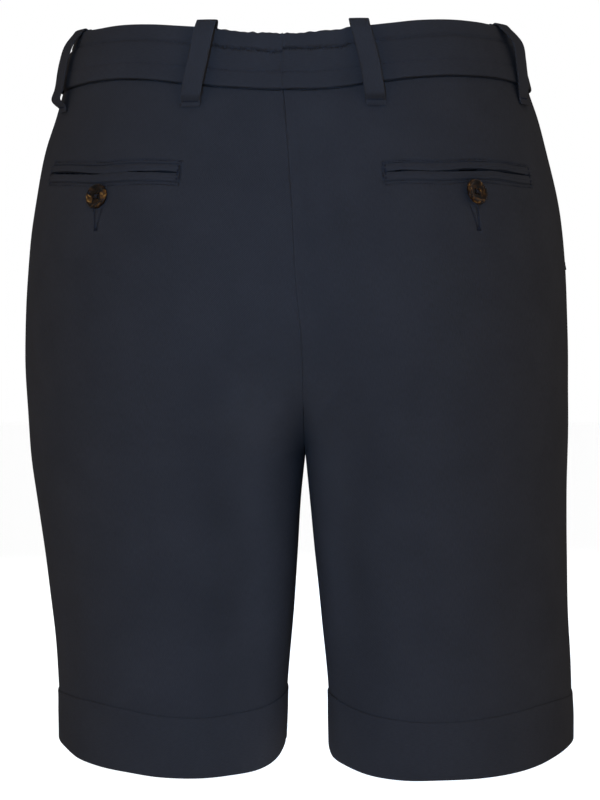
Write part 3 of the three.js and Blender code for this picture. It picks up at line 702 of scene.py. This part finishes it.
def pocket_relief(word, side, across, z):
    """Slot that the welts edge, the sewn frame round them and the slit of the buttonhole below."""
    x = plain_point(side, across, z)[..., 0] * side
    inner, outer = POCKET_ENDS[word]
    line = pocket_line(word, x)
    slot = -MOUTH_DEPTH * np.exp(-((np.abs(z - line) / 1.5) ** 4)) * window(x, inner + 3, outer - 3, 2)
    beads = 0.8 + 0.2 * np.cos(2 * math.pi * x / 3.1)
    drift = row_drift(side, x)
    above, below = FRAME_ABOVE[word], POCKET["frame_below"]
    first, last = frame_ends(word, z - line)
    welt = POCKET["mouth"] / 2 + POCKET["welt"] + 0.35
    seams = groove(z - line - welt, 1.2, 0.6) + groove(z - line + welt, 0.6, 0.6)
    seams = seams * window(x, first + 1, last - 1, 0.8)
    rows = groove(z - line - above - drift, 1.1, 0.65) + groove(z - line + below - drift, 1, 0.65)
    rows = rows * beads * window(x, first, last, 0.8)
    ends = groove(x - first, 0.5, 0.8) + groove(x - last, 0.6, 0.9)
    ends = ends * window(z, line - below, line + above, 0.8)
    top_x, top_z, foot_x, foot_z, spread = BUTTONHOLE[word]
    down = (top_z - z) / (top_z - foot_z)
    middle = blend(top_x, foot_x, down)
    half = spread * np.clip(1 - down, 0, 1) ** 1.25
    inside = window(down, 0, 0.99, 0.04)
    slit = groove(np.abs(x - middle) - half, 0.85, 0.75) * inside
    between = 0.5 * np.exp(-(((x - middle) / (half + 0.4)) ** 2)) * inside * np.clip(1 - down, 0, 1)
    foot = groove(np.hypot(x - foot_x, (z - foot_z) * 0.7), 0.7, 1.5)
    return slot + seams + rows + ends + slit + between + foot


def crevice(side, across, z):
    """Sunken edge under the waistband, deepest beside the back loops."""
    x = np.abs(plain_point(side, across, z)[..., 0])
    deeper = CREVICE["at_loop"] * np.exp(-(((x - CREVICE["loop_x"]) / CREVICE["loop_reach"]) ** 2))
    return groove(z - seam_at(side, across) - CREVICE["over"], CREVICE["deep"], CREVICE["wide"]) * (1 + deeper)


def panel(word, side, behind):
    across = panel_columns(word, side, behind)[None, :]
    part, share = panel_rows(behind)
    z = panel_height(side, part, share, across)
    from_edge = np.minimum(np.minimum(across, 1 - across), np.abs(SIDE_SEAM - across)) * RING_LENGTH
    lift = groove(from_edge, SEAM_ROLL * (1 + 2 * ease(z, YOKE_FOOT, -25)), 1.1)
    if behind:
        lift = lift + pocket_relief(word, side, across, z) + crevice(side, across, z)
    points = cloth_point(side, across, z, lift)
    inner_end, side_end, to_face = (0, -1, 1) if behind else (-1, 0, -1)
    points[:, side_end, 1] += to_face * SEAM_PLAY
    points[:, inner_end, 0] += side * SEAM_PLAY
    leg = points[:, inner_end, 2] <= CROTCH + PLAY
    points[leg, inner_end, 1] += to_face * SEAM_PLAY
    name = ("back_" if behind else "front_") + word
    obj = piece(name + "_panel", sheet_grid(points, flip=side < 0), CLOTH, [name])
    if behind:
        # Faces deep in the mouth take the near-black cloth, painted shadow of the pocket mouth
        obj.data.materials.append(POCKET_BAG_PAINTED_SHADOW)
        inside = ((lift < -MOUTH_SHADOW_FROM * MOUTH_DEPTH) & (z < YOKE_FOOT)).reshape(-1)
        for face in obj.data.polygons:
            face.material_index = int(all(inside[vert] for vert in face.vertices))
    return thicken(obj, PANEL_CLOTH)


# Waistband

# Height of the two stitched rows as a share of the band's, at a place on the half ring
STITCH_ROWS = table(
    ("across", "lower_left", "lower_right", "upper_left", "upper_right"),
    (0.5, 0.285, 0.285, 0.7, 0.7),
    (0.3, 0.29, 0.29, 0.71, 0.71),
    (0.16, 0.3, 0.3, 0.69, 0.695),
    (0.115, 0.305, 0.305, 0.695, 0.71),
    (0.085, 0.31, 0.31, 0.68, 0.722),
    (0.04, 0.31, 0.31, 0.665, 0.725),
    (0, 0.31, 0.31, 0.665, 0.728),
)


def row_height(row, side, across):
    return STITCH_ROWS[row + "_" + word_of(side)](np.minimum(across, SIDE_SEAM))


TAB_REACH = 22
TAB_LIFT = 3.5
CENTRE_PLAY = 0.00008
GATHER_WIDTH = 52
# Each stitched row's depth and width, in millimetres
ROW_DEPTH = {"lower": 0.6, "upper": 1.3}


def band_relief(side, across, up):
    """The two stitched rows, the soft channels between them and the puckers that the gathering makes."""
    s = across * RING_LENGTH + 11 * side
    x = np.abs(plain_point(side, np.clip(across, 0, 1), 0)[..., 0])
    gathered = np.where(across < SIDE_SEAM, 1 - ease(x, GATHER_WIDTH - 10, GATHER_WIDTH + 6), 0)
    drift = 0.006 * np.sin(s / 9.3) + 0.004 * np.sin(s / 3.7 + 1)
    relief = 0.35 + 0.45 * np.sin(math.pi * np.clip(up, 0, 1)) ** 0.5
    rough = 0.5 + 0.5 * np.sin(s / 8.1 + 1.9 * np.sin(s / 23)) * np.sin(s / 3.3 + side)
    for row, depth in ROW_DEPTH.items():
        off = (up - row_height(row, side, across) - drift) * 40
        deep = depth * (0.75 + gathered * (0.25 + 0.6 * rough if row == "upper" else 0.1))
        relief = relief + groove(off, deep, 0.95) * (0.82 + 0.18 * np.cos(2 * math.pi * s / 3.1))
        relief = relief + groove(off, 0.22, 4)
    off = (up - row_height("upper", side, across) - drift) * 40
    crimp = np.sin(s / 0.83 + 2.1 * np.sin(s / 4.3) + 0.4 * off)
    crimp = crimp + 0.6 * np.sin(s / 0.49 + 1.3 * np.sin(s / 2.9))
    near = np.exp(-(((off + 0.4) / 1.5) ** 2))
    relief = relief + gathered * 0.3 * crimp * rough * near
    pull = np.sin(s / 2.7 + 1.5 * np.sin(s / 9)) * np.exp(-np.abs(off) / 5)
    relief = relief + gathered * 0.12 * pull
    wave = 0.5 * np.sin(s / 13 + up * 2.2) + 0.3 * np.sin(s / 6.1 - up * 4)
    relief = relief + 0.25 * wave * np.sin(math.pi * np.clip(up, 0, 1))
    return relief + groove(x, 0.3, 0.9) * np.where(across < SIDE_SEAM, 1, 0)


def band_place(side, across, up, lift, relief):
    place = np.minimum(across, 2 - across)
    z = blend(seam_at(side, place), band_top_at(side, place), up)
    s = place * RING_LENGTH + 5 * side
    edge = 0.3 * np.sin(s / 5.9 + side + 1.7 * np.sin(s / 11)) + 0.12 * np.sin(s / 2.7)
    z = z + edge * (1 - ease(place, 0.2, 0.27)) * np.maximum(up, 0) ** 8
    tab_end = 2 - across_at(1, TAB_REACH, 0, False)
    tab = TAB_LIFT * ease(across, 1 - (tab_end - 1) * 1.4, 0.995) if side < 0 else 0
    shape = band_relief(side, across, up) * relief if relief else 0
    return cloth_point(side, across, z, lift + tab + shape)


def band_columns(side):
    """Places round the band, close together where it is gathered."""
    gathered = np.linspace(CENTRE_PLAY, 0.26, 300)
    rest = np.linspace(0.26, 1 - CENTRE_PLAY, 190)[1:]
    if side > 0:
        return np.concatenate((gathered, rest))
    tab_end = float(2 - across_at(1, TAB_REACH, 0, False))
    return np.concatenate((gathered, rest, np.linspace(1, tab_end, 22)))


def waistband(word, side):
    across = band_columns(side)[:, None]
    front = np.linspace(0.03, 0.97, 54)
    outer = BAND_GAP + BAND_CLOTH - 0.55
    section = [(up, outer, 1) for up in front]
    section += [(0.985, outer - 0.1, 0.7), (1, outer - 0.9, 0), (0.99, BAND_GAP + 0.3, 0)]
    section += [(up, BAND_GAP, 0) for up in np.linspace(0.96, 0.04, 7)]
    section += [(0.01, BAND_GAP + 0.3, 0), (0, outer - 0.7, 0)]
    section += [(0.006, outer - 0.2, 0.5), (0.015, outer, 0.8)]
    section.append(section[0])
    rings = [band_place(side, across[:, 0], up, lift, relief) for up, lift, relief in section]
    points = np.stack(rings, 1)
    name = "waistband_" + word
    return piece(name + "_folded", sheet_grid(points, False, weld=True, cap=True), CLOTH, [name])


# Turn-ups


def cuff(word, side):
    back = np.linspace(0, SIDE_SEAM, 80)
    across = np.concatenate((back, SIDE_SEAM + back[1:]))
    depth = CUFF_CLOTH - 0.6
    thin = depth * 0.62
    section = [(0.004, thin * 0.35), (0.012, thin * 0.8), (0.03, thin)]
    face = np.linspace(0.08, 0.92, 14)
    section += [(down, blend(thin, depth, float(ease(down, 0.03, 0.5)))) for down in face]
    section += [(0.965, depth), (0.99, depth * 0.75), (1, depth * 0.4), (0.992, 0.1)]
    section += [(down, 0) for down in np.linspace(0.95, 0.05, 8)]
    section += [(0.012, 0.08), section[0]]
    rings = []
    for down, lift in section:
        z = blend(cuff_top_at(side, across), hem_at(side, across), down)
        to_seam = np.minimum(np.minimum(across, 1 - across), np.abs(across - SIDE_SEAM)) * RING_LENGTH
        roll = groove(to_seam, 0.35, 1.6) if lift > 0.5 * depth else 0
        rings.append(cloth_point(side, across, z, 0.08 + lift + roll))
    points = np.stack(rings, 1)
    points[-1] = points[0]
    name = "cuff_" + word
    return piece(name + "_turned", sheet_grid(points, False, weld=True), CLOTH, [name])


# Belt loops

LOOP_WIDTH = 13.8
LOOP_PLACES = {
    "left": (("back", 50.5, 58.4, True), ("front", 70, 71, False)),
    "right": (("back", 51.5, 58.4, True), ("front", 70, 71, False)),
}
LOOP_BOW = {"back_right": 2}
SIDE_LOOPS = {"left": (0.428, 0.41), "right": (0.43, 0.43)}
# How each loop stands: gap near its top and low at the seam, rise over the band, shoulder below its
# edge, fullness under the seam, reach and flat of its foot, and turn to the back in degrees
LOOP_STAND_WORDS = ("gap", "low", "rise", "shoulder", "full", "reach", "flat", "turn")
LOOP_STAND = {
    "back_left": (7.3, 7.3, 4, 1, 0.8, 15.5, 1.6, 0),
    "back_right": (7.3, 7.3, 4, 1, 0.8, 15.5, 3, 0),
    "front": (7.5, 7.5, 3, 1, 0.68, 14.5, 6, 0),
    "side_left": (4.5, 3.9, 0.9, 8, 1.08, 17, 2, 7),
    "side_right": (6.8, 0.9, 0.9, 10, 0.6, 14.5, 5, 8),
}


def loop_path(side, top_across, foot_across, bow, gap, low, rise, shoulder, full, reach, flat, turn):
    """Middle line of a belt loop, with the ways that its face and its width look at each step."""
    band = LAID_ON + BAND_CLOTH + 0.8
    half = LOOP_CLOTH / 2
    middle = (top_across + foot_across) / 2
    top = float(band_top_at(side, middle))
    seam = float(seam_at(side, middle))
    foot = seam - reach

    def stand(z):
        return band + half + blend(low, gap, (z - seam) / (top - shoulder - seam))

    knots = np.array(
        [
            (top - 8, -half - 0.8),
            (top + 1.2, -half - 0.8),
            (top + half + rise - 0.8, 0.2),
            (top + half + rise, band * 0.6),
            (top + half + rise - 0.3, band + 0.8),
            (top + half + rise - 0.4 * shoulder, band + gap * 0.5),
            (top - shoulder, stand(top - shoulder) - 0.4),
            (top - 13 - shoulder, stand(top - 13 - shoulder)),
            (seam + 12, stand(seam + 12)),
            (seam - 1, stand(seam)),
            (blend(seam, foot, 0.45), stand(seam) * full),
            (foot + flat, half + LAID_ON + 0.5),
            (foot, half + LAID_ON + 0.1),
        ]
    )
    along = -np.concatenate(([0], np.sqrt((np.diff(knots, axis=0) ** 2).sum(1)).cumsum()))
    stops = np.linspace(0, along[-1], 90)
    z, out = curve(along, knots[:, 0])(stops), curve(along, knots[:, 1])(stops)
    facing = outward(side, middle, 0) * (1, 1, 0)
    facing = facing / np.linalg.norm(facing)
    swing = side * math.radians(turn) * ease(out, 1.5, band + 1.5)
    c, s, none = np.cos(swing), np.sin(swing), np.zeros(swing.shape)
    forward = np.stack((facing[0] * c - facing[1] * s, facing[0] * s + facing[1] * c, none), -1)
    ahead = np.stack((-forward[:, 1], forward[:, 0], none), -1) * -side
    down = np.clip((top - z) / (top - foot), 0, 1)
    across = blend(top_across, foot_across, down) + bow / RING_LENGTH * np.sin(math.pi * down)
    centre = plain_point(side, across, z) + facing * out[:, None]
    run = np.stack((np.gradient(out), np.gradient(z)), -1)
    run = run / np.linalg.norm(run, axis=-1, keepdims=True)
    face = forward * -run[:, 1:] + np.array([0, 0, 1]) * run[:, :1]
    return centre, face, ahead


def belt_loop(where, word, side, top_across, foot_across):
    stand = dict(zip(LOOP_STAND_WORDS, LOOP_STAND.get(where + "_" + word) or LOOP_STAND[where]))
    bow = LOOP_BOW.get(where + "_" + word, 0)
    centre, face, ahead = loop_path(side, top_across, foot_across, bow, **stand)
    section = folded_section(LOOP_WIDTH, LOOP_CLOTH, crown=0.12)
    over, high = section[:, 0][None, :, None], (section[:, 1] - LOOP_CLOTH / 2)[None, :, None]
    points = centre[:, None] + over * ahead[:, None] + high * face[:, None]
    name = f"belt_loop_{where}_{word}"
    loop = piece(name + "_strip", sheet_grid(points, False, weld=True, cap=True), TRIM, [name])
    bm = bmesh.new()
    tack = {"long": 1.5, "gap": 0.42, "wide": 0.4, "high": 0.3}
    at, out = centre[-6], face[-6]
    reach = np.linspace(-5.2, 5.2, 8)[:, None] * ahead[-6]
    sew(bm, at + reach + out * (LOOP_CLOTH / 2 + 0.05), [out] * 8, tack, turn=math.radians(80))
    return loop, piece(name + "_stitching", bm, THREAD)


# Back pockets


def laid_strip(name, side, middle, section, material, nodes, width=1):
    """A folded strip laid on a panel. middle is its middle line's across, z and turn of the width."""
    across, z, turn = middle
    over, lift = section[:, 0][None, :] * np.reshape(width, (-1, 1)), section[:, 1][None, :]
    scale = ring_scale(side, across, z)
    wide = across[:, None] + over * np.sin(turn)[:, None] / scale[:, None]
    high = z[:, None] + over * np.cos(turn)[:, None]
    points = cloth_point(side, wide, high, LAID_ON + lift)
    return piece(name, sheet_grid(points, False, weld=True, cap=True), material, nodes)


def ring_scale(side, across, z):
    """Length of the cloth round the half ring for one whole share of it, at a place."""
    ahead = plain_point(side, across + 0.003, z) - plain_point(side, across - 0.003, z)
    return np.linalg.norm(ahead, axis=-1) / 0.006


# How far the lips of each mouth part, at a distance from the middle
GAPE = {
    "left": table(
        ("x", "open"), (166, 0.6), (160, 1.8), (150, 2.2), (136, 1.5), (127, 0.9), (122, 0.1),
        (105, 0.1), (99, 0.8), (84, 0.9), (79, 1.6), (73, 1.5), (69, 0.5),
    ),
    "right": table(
        ("x", "open"), (168, 0.7), (156, 1.4), (148, 1.7), (142, 0.9), (134, 2), (122, 2),
        (113, 1.2), (104, 0.6), (88, 0.6), (81, 1.4), (76, 1), (71, 0.5),
    ),
}  # fmt: skip


def pocket(word, side):
    inner, outer = POCKET_ENDS[word]
    u = np.linspace(0, 1, 130)
    made = []
    for where, way in (("upper", 1), ("lower", -1)):
        lean = FRAME_LEAN[word][1] * 8 * (1 + way * 0.35)
        x = blend(inner, outer - lean + 2, u)
        wobble = 0.16 * np.sin(x / 4.7 + way) + 0.1 * np.sin(x / 2.1)
        part, uneven = (0.62, 0.5) if way > 0 else (0.38, -0.3)
        gape = GAPE[word]["open"](x) * part + np.maximum(wobble, -0.1) * uneven
        edge = np.maximum(gape, 0.05)
        far = POCKET["mouth"] / 2 + POCKET["welt"] + 0.3 * wobble
        z = pocket_line(word, x) + way * (edge + far) / 2
        section = folded_section(1, TRIM_CLOTH, crown=0.25, steps=8)
        middle = (across_at(side, x, z, True), z, np.zeros(u.shape))
        name = f"pocket_welt_{where}_{word}"
        made.append(laid_strip(name + "_folded", side, middle, section, TRIM, [name], far - edge))
    bm = bmesh.new()
    above, below = FRAME_ABOVE[word], POCKET["frame_below"]
    for off in (above, -below):
        first, last = frame_ends(word, off)
        wide = np.linspace(first, last, 110)
        z = pocket_line(word, wide) + off + row_drift(side, wide)
        sew(bm, *cloth_line(side, across_at(side, wide, z, True), z, -0.86))
    tack = {"long": 1.6, "gap": 0.42, "wide": 0.4, "high": 0.34}
    for which, end in ((0, inner), (1, outer)):
        height = np.linspace(-below, above, 12)
        x = frame_ends(word, height)[which]
        z = pocket_line(word, end) + height
        sew(bm, *cloth_line(side, across_at(side, x, z, True), z, -0.5))
        short = np.linspace(-5, 5, 12)
        x = frame_ends(word, short)[which] + (1.5 if which == 0 else -1.5)
        z = pocket_line(word, end) + short
        sew(bm, *cloth_line(side, across_at(side, x, z, True), z, 1.4), tack, turn=math.radians(84))
    made.append(piece(f"pocket_{word}_stitching", bm, THREAD))
    return made


# Buttons and buttonholes

BUTTON_RADIUS = 8.7
BUTTON_SEAT = -0.25
HOLE_FROM = 1.9
BACK_BUTTONS = {"left": (125, -99.2), "right": (130, -97.8)}
WAIST_BUTTON_X = 9
# How far each pocket button hangs turned outwards on its thread, in degrees
BUTTON_TILT = {"left": 0, "right": 15}


def seat_of(side, across, z, lift):
    """Place and turn of a button: its back on the cloth and its face outwards, as the solid has it."""
    facing = Vector(outward(side, across, z))
    turn = Vector((0, 1, 0)).rotation_difference(facing).to_matrix().to_4x4()
    return Matrix.Translation((Vector(plain_point(side, across, z)) + facing * lift) * MM) @ turn


def button(name, node, seat):
    """Turned disc with a raised rim and a dished middle, drilled with four holes and sewn on crosswise."""
    r = BUTTON_RADIUS
    profile = (
        (0, 0), (r - 2.6, 0), (r - 1.4, 0.15), (r - 0.5, 0.6), (r - 0.05, 1.3), (r, 1.9), (r - 0.25, 2.5),
        (r - 0.8, 2.9), (r - 1.4, 3), (r - 1.9, 2.85), (r - 2.5, 2.3), (r - 3.3, 1.95), (r - 4.5, 1.82),
        (0, 1.8),
    )  # fmt: skip
    bm = bmesh.new()
    verts = [bm.verts.new((x * MM, y * MM, 0)) for x, y in profile]
    edges = [bm.edges.new(pair) for pair in zip(verts, verts[1:])]
    spin = {"axis": (0, 1, 0), "cent": (0, 0, 0), "steps": 72, "angle": math.tau, "use_merge": True}
    bmesh.ops.spin(bm, geom=verts + edges, **spin)
    bmesh.ops.remove_doubles(bm, verts=bm.verts, dist=1e-7)
    bmesh.ops.recalc_face_normals(bm, faces=bm.faces)
    drill = bmesh.new()
    off = HOLE_FROM * math.sqrt(0.5)
    corners = [(x * off, z * off) for x in (1, -1) for z in (1, -1)]
    quarter = Matrix.Rotation(math.radians(90), 4, "X")
    for x, z in corners:
        place = Matrix.Translation(Vector((x, 1, z)) * MM) @ quarter
        size = {"radius1": 0.95 * MM, "radius2": 0.95 * MM, "depth": 12 * MM}
        bmesh.ops.create_cone(drill, cap_ends=True, segments=20, matrix=place, **size)
    disc, cutter = (bpy.data.objects.new("blank", bpy.data.meshes.new("blank")) for _ in range(2))
    for holder, shape in ((disc, bm), (cutter, drill)):
        shape.to_mesh(holder.data)
        shape.free()
        bpy.context.scene.collection.objects.link(holder)
    cut = disc.modifiers.new("holes", "BOOLEAN")
    cut.operation, cut.object, cut.solver = "DIFFERENCE", cutter, "EXACT"
    drilled = bmesh.new()
    drilled.from_object(disc, bpy.context.evaluated_depsgraph_get())
    for blank in (disc, cutter):
        bpy.data.objects.remove(blank)
    for face in drilled.faces:
        face.smooth = True
    bmesh.ops.transform(drilled, matrix=seat, verts=drilled.verts)
    body = piece(name, drilled, HORN, [node])

    bm = bmesh.new()
    strands = {"wide": 0.5, "high": 0.55}
    for x, z in corners[:2]:
        for shift in (-0.34, 0, 0.34):
            sideways = np.array([z, 0, -x]) / HOLE_FROM * shift
            top = np.array([0, 2.15 - abs(shift) * 0.3 + (0.12 if z > 0 else 0), 0]) + sideways
            way, out = np.array([x, 0, z]) / HOLE_FROM, np.array([0, 1.0, 0])
            add_stitch(bm, top, way, out, HOLE_FROM * 2.35, **strands)
    bmesh.ops.transform(bm, matrix=seat, verts=bm.verts)
    return body, piece(name + "_thread", bm, BUTTON_THREAD)


def buttonhole(word, side):
    """Two lips of close stitching round a slit, meeting in a bar-tack at the foot."""
    bm = bmesh.new()
    top_x, top_z, foot_x, foot_z, spread = BUTTONHOLE[word]
    down = np.linspace(0, 0.97, 30)
    z = blend(top_z, foot_z, down)
    purl = {"long": 1.2, "gap": 0.5, "wide": 0.45, "high": 0.35}
    for way in (-1, 1):
        lip = blend(top_x, foot_x, down) + way * (0.75 + spread * (1 - down) ** 1.25)
        sew(bm, *cloth_line(side, across_at(side, lip, z, True), z, -0.35), purl, turn=math.radians(86))
    z = np.full(8, foot_z - 0.4)
    foot = cloth_line(side, across_at(side, np.linspace(foot_x - 1.4, foot_x + 1.4, 8), z, True), z, -0.3)
    tack = {"long": 2.0, "gap": 0.42, "wide": 0.42, "high": 0.4}
    sew(bm, *foot, tack, turn=math.radians(88))
    return piece(f"pocket_buttonhole_{word}", bm, THREAD)


# Front: slant pockets and fly

SLANT = {"top_x": 108, "bottom_across": 0.515, "bottom_z": -146, "width": 5}
FLY = {"width": 34, "straight": -118, "bottom": -158, "point": 3}


def slant_line(side, v):
    top = across_at(side, SLANT["top_x"], WAIST_SEAM, False)
    z = blend(seam_at(side, top) - 0.4, SLANT["bottom_z"], v)
    return blend(top, SLANT["bottom_across"], v**1.15), z


def slant_edge(word, side):
    v = np.linspace(0, 1, 90)
    across, z = slant_line(side, v)
    across = across + 0.4 * SLANT["width"] * 1.25 / RING_LENGTH
    section = folded_section(SLANT["width"] * 0.95, TRIM_CLOTH, crown=0.15, steps=8)
    name = "slant_pocket_edge_" + word
    turn = np.full(v.shape, math.radians(62))
    strip = laid_strip(name + "_folded", side, (across, z, turn), section, TRIM, [name])
    bm = bmesh.new()
    for inset in (0.0024, 0.0102):
        shift = SLANT["width"] * 0.5 / RING_LENGTH + inset
        sew(bm, *cloth_line(side, across[2:-2] + shift, z[2:-2], 0.06))
    return strip, piece(f"slant_pocket_{word}_stitching", bm, THREAD)


def fly_width(z):
    past = np.clip((FLY["straight"] - z) / (FLY["straight"] - FLY["bottom"]), 0, 1)
    return blend(FLY["point"], FLY["width"], np.sqrt(1 - past**2))


def fly_facing():
    side = -1
    v = np.sin(np.linspace(0, 1, 70) * math.pi / 2)
    z = blend(WAIST_SEAM - 0.4, FLY["bottom"], v)
    seam = -plain_point(side, 1, z)[:, 0]
    over = folded_section(1.0, 1.0, steps=22)
    share, lift = over[:, 0] + 0.5, over[:, 1] * TRIM_CLOTH
    x = seam[:, None] + 0.4 + fly_width(z)[:, None] * share[None, :]
    zz = np.broadcast_to(z[:, None], x.shape)
    points = cloth_point(side, across_at(side, x, zz, False), zz, LAID_ON + lift[None, :])
    bm = sheet_grid(points, False, weld=True, cap=True)
    facing = piece("fly_facing_folded", bm, TRIM, ["fly_facing"])
    bm = bmesh.new()
    for inset in (2.2, 7.5):
        across = across_at(side, seam + 0.4 + fly_width(z) - inset, z, False)
        points, facings = cloth_line(side, across, z, LAID_ON + TRIM_CLOTH + 0.05)
        keep = fly_width(z) > inset + 1.5
        sew(bm, points[keep], facings[keep])
    return facing, piece("fly_stitching", bm, THREAD)


def band_stitching(word, side):
    bm = bmesh.new()
    across = band_columns(side)
    for row in ROW_DEPTH:
        points = band_place(side, across, row_height(row, side, across), BAND_GAP + BAND_CLOTH - 0.7, 1)
        facing = outward(side, np.minimum(across, 1), 0)
        sew(bm, points, facing)
    return piece(f"waistband_{word}_stitching", bm, THREAD)


def bar_tacks(word, side):
    """Bar-tacks near the head and the foot of a slant pocket."""
    bm = bmesh.new()
    tack = {"long": 2.0, "gap": 0.42, "wide": 0.45, "high": 0.35}
    for v in (0.97, 0.12):
        across, z = slant_line(side, v)
        place = across + np.linspace(0.004, 0.018, 8)
        line = cloth_line(side, place, np.full(8, z), TRIM_CLOTH + LAID_ON + 0.1)
        sew(bm, *line, tack, turn=math.radians(80))
    return piece(f"bar_tacks_{word}", bm, THREAD)


def dress():
    """Makes every piece: panels, waistbands, turn-ups, pockets, buttons, buttonholes, slant pocket edges, fly,
    belt loops and their stitching.
    """
    for word, side in (("left", 1), ("right", -1)):
        back, front = panel(word, side, True), panel(word, side, False)
        band, hem = waistband(word, side), cuff(word, side)
        rows = band_stitching(word, side)
        on_back = pocket(word, side)
        x, z = BACK_BUTTONS[word]
        tilt = math.radians(BUTTON_TILT[word])
        hang = Matrix.Translation((0, BUTTON_RADIUS * math.sin(tilt) * MM, 0)) @ Matrix.Rotation(tilt, 4, "Z")
        seat = seat_of(side, across_at(side, x, z, True), z, BUTTON_SEAT) @ hang
        node = "pocket_button_" + word
        on_back += button(node + "_turned", node, seat)
        on_back.append(buttonhole(word, side))
        on_front = [*slant_edge(word, side), bar_tacks(word, side)]
        if side < 0:
            facing, lines = fly_facing()
        places = {"side": SIDE_LOOPS[word]}
        for where, top_x, foot_x, behind in LOOP_PLACES[word]:
            edges = ((top_x, BAND_TOP), (foot_x, WAIST_SEAM))
            places[where] = [float(across_at(side, x, z, behind)) for x, z in edges]
        for where in ("back", "front", "side"):
            loop, lines = belt_loop(where, word, side, *places[where])
    lift = BAND_GAP + BAND_CLOTH + TAB_LIFT + 0.8 + LAID_ON
    button("waist_button_turned", "waist_button", seat_of(1, across_at(1, WAIST_BUTTON_X, 0, False), 0, lift))


dress()

# Floor, light and camera


# Each lamp's place, width and height, spread in degrees, power and colour
LAMPS = {
    "cool strip behind": ((0.02, 2.7, -0.22), (0.12, 1.1), 13, 1.6, (0.2, 0.47, 1)),
    "side lamp behind left": ((1.8, 2.2, -0.1), (0.7, 0.7), 150, 4, (1, 0.97, 0.97)),
    "side lamp behind right": ((-1.8, 2.2, -0.1), (0.7, 0.7), 150, 4, (1, 0.97, 0.97)),
    "soft lamp in front": ((0.6, -2.6, 0.9), (2.2, 2.2), 150, 18, (0.9, 0.95, 1)),
    "cool lamp in front": ((0.02, -2.7, -0.22), (0.5, 1.1), 24, 5, (0.22, 0.48, 1)),
}
# The point that every lamp faces, and how far the floor lies under the waist
LIT = (0, 0, -0.25)
FLOOR = -0.66


def studio():
    bm = bmesh.new()
    bmesh.ops.create_circle(bm, cap_ends=True, segments=96, radius=9)
    bmesh.ops.translate(bm, verts=bm.verts, vec=(0, 0, FLOOR))
    mesh = bpy.data.meshes.new("floor")
    bm.to_mesh(mesh)
    bm.free()
    material, shader, add, links = node_material("pale floor", 0.9)
    shader.inputs["Base Color"].default_value = (0.98, 0.98, 0.98, 1)
    mesh.materials.append(material)
    floor = bpy.data.objects.new("floor", mesh)
    bpy.context.scene.collection.objects.link(floor)

    world = bpy.data.worlds.new("white room")
    world.use_nodes = True
    world.node_tree.nodes["Background"].inputs["Color"].default_value = (1, 1, 1, 1)
    world.node_tree.nodes["Background"].inputs["Strength"].default_value = 1.0
    bpy.context.scene.world = world
    bpy.context.scene.view_settings.view_transform = "Standard"
    for name, (place, size, spread, power, colour) in LAMPS.items():
        lamp = bpy.data.lights.new(name, "AREA")
        lamp.shape, (lamp.size, lamp.size_y), lamp.energy = "RECTANGLE", size, power
        lamp.spread, lamp.color = math.radians(spread), colour
        holder = bpy.data.objects.new(name, lamp)
        holder.location = place
        aim = Vector(LIT) - Vector(place)
        holder.rotation_euler = aim.to_track_quat("-Z", "Y").to_euler()
        bpy.context.scene.collection.objects.link(holder)


CAMERA = {"azimuth": 184.5, "distance": 1.8, "height": -0.176, "aim": (-0.0036, -0.241), "lens": 112}


def camera():
    """Level with the hips and straight behind, a little to the wearer's right."""
    turn = math.radians(CAMERA["azimuth"])
    back = Vector((math.sin(turn), -math.cos(turn), 0))
    right = Vector((-back.y, back.x, 0))
    sideways, aim_z = CAMERA["aim"]
    eye = back * CAMERA["distance"] - right * sideways + Vector((0, 0, CAMERA["height"]))
    target = right * -sideways + Vector((0, 0, aim_z))
    data = bpy.data.cameras.new("camera")
    data.lens, data.sensor_width = CAMERA["lens"], 36
    holder = bpy.data.objects.new("camera", data)
    holder.location = eye
    holder.rotation_euler = (target - eye).to_track_quat("-Z", "Y").to_euler()
    bpy.context.scene.collection.objects.link(holder)
    bpy.context.scene.camera = holder


studio()
camera()
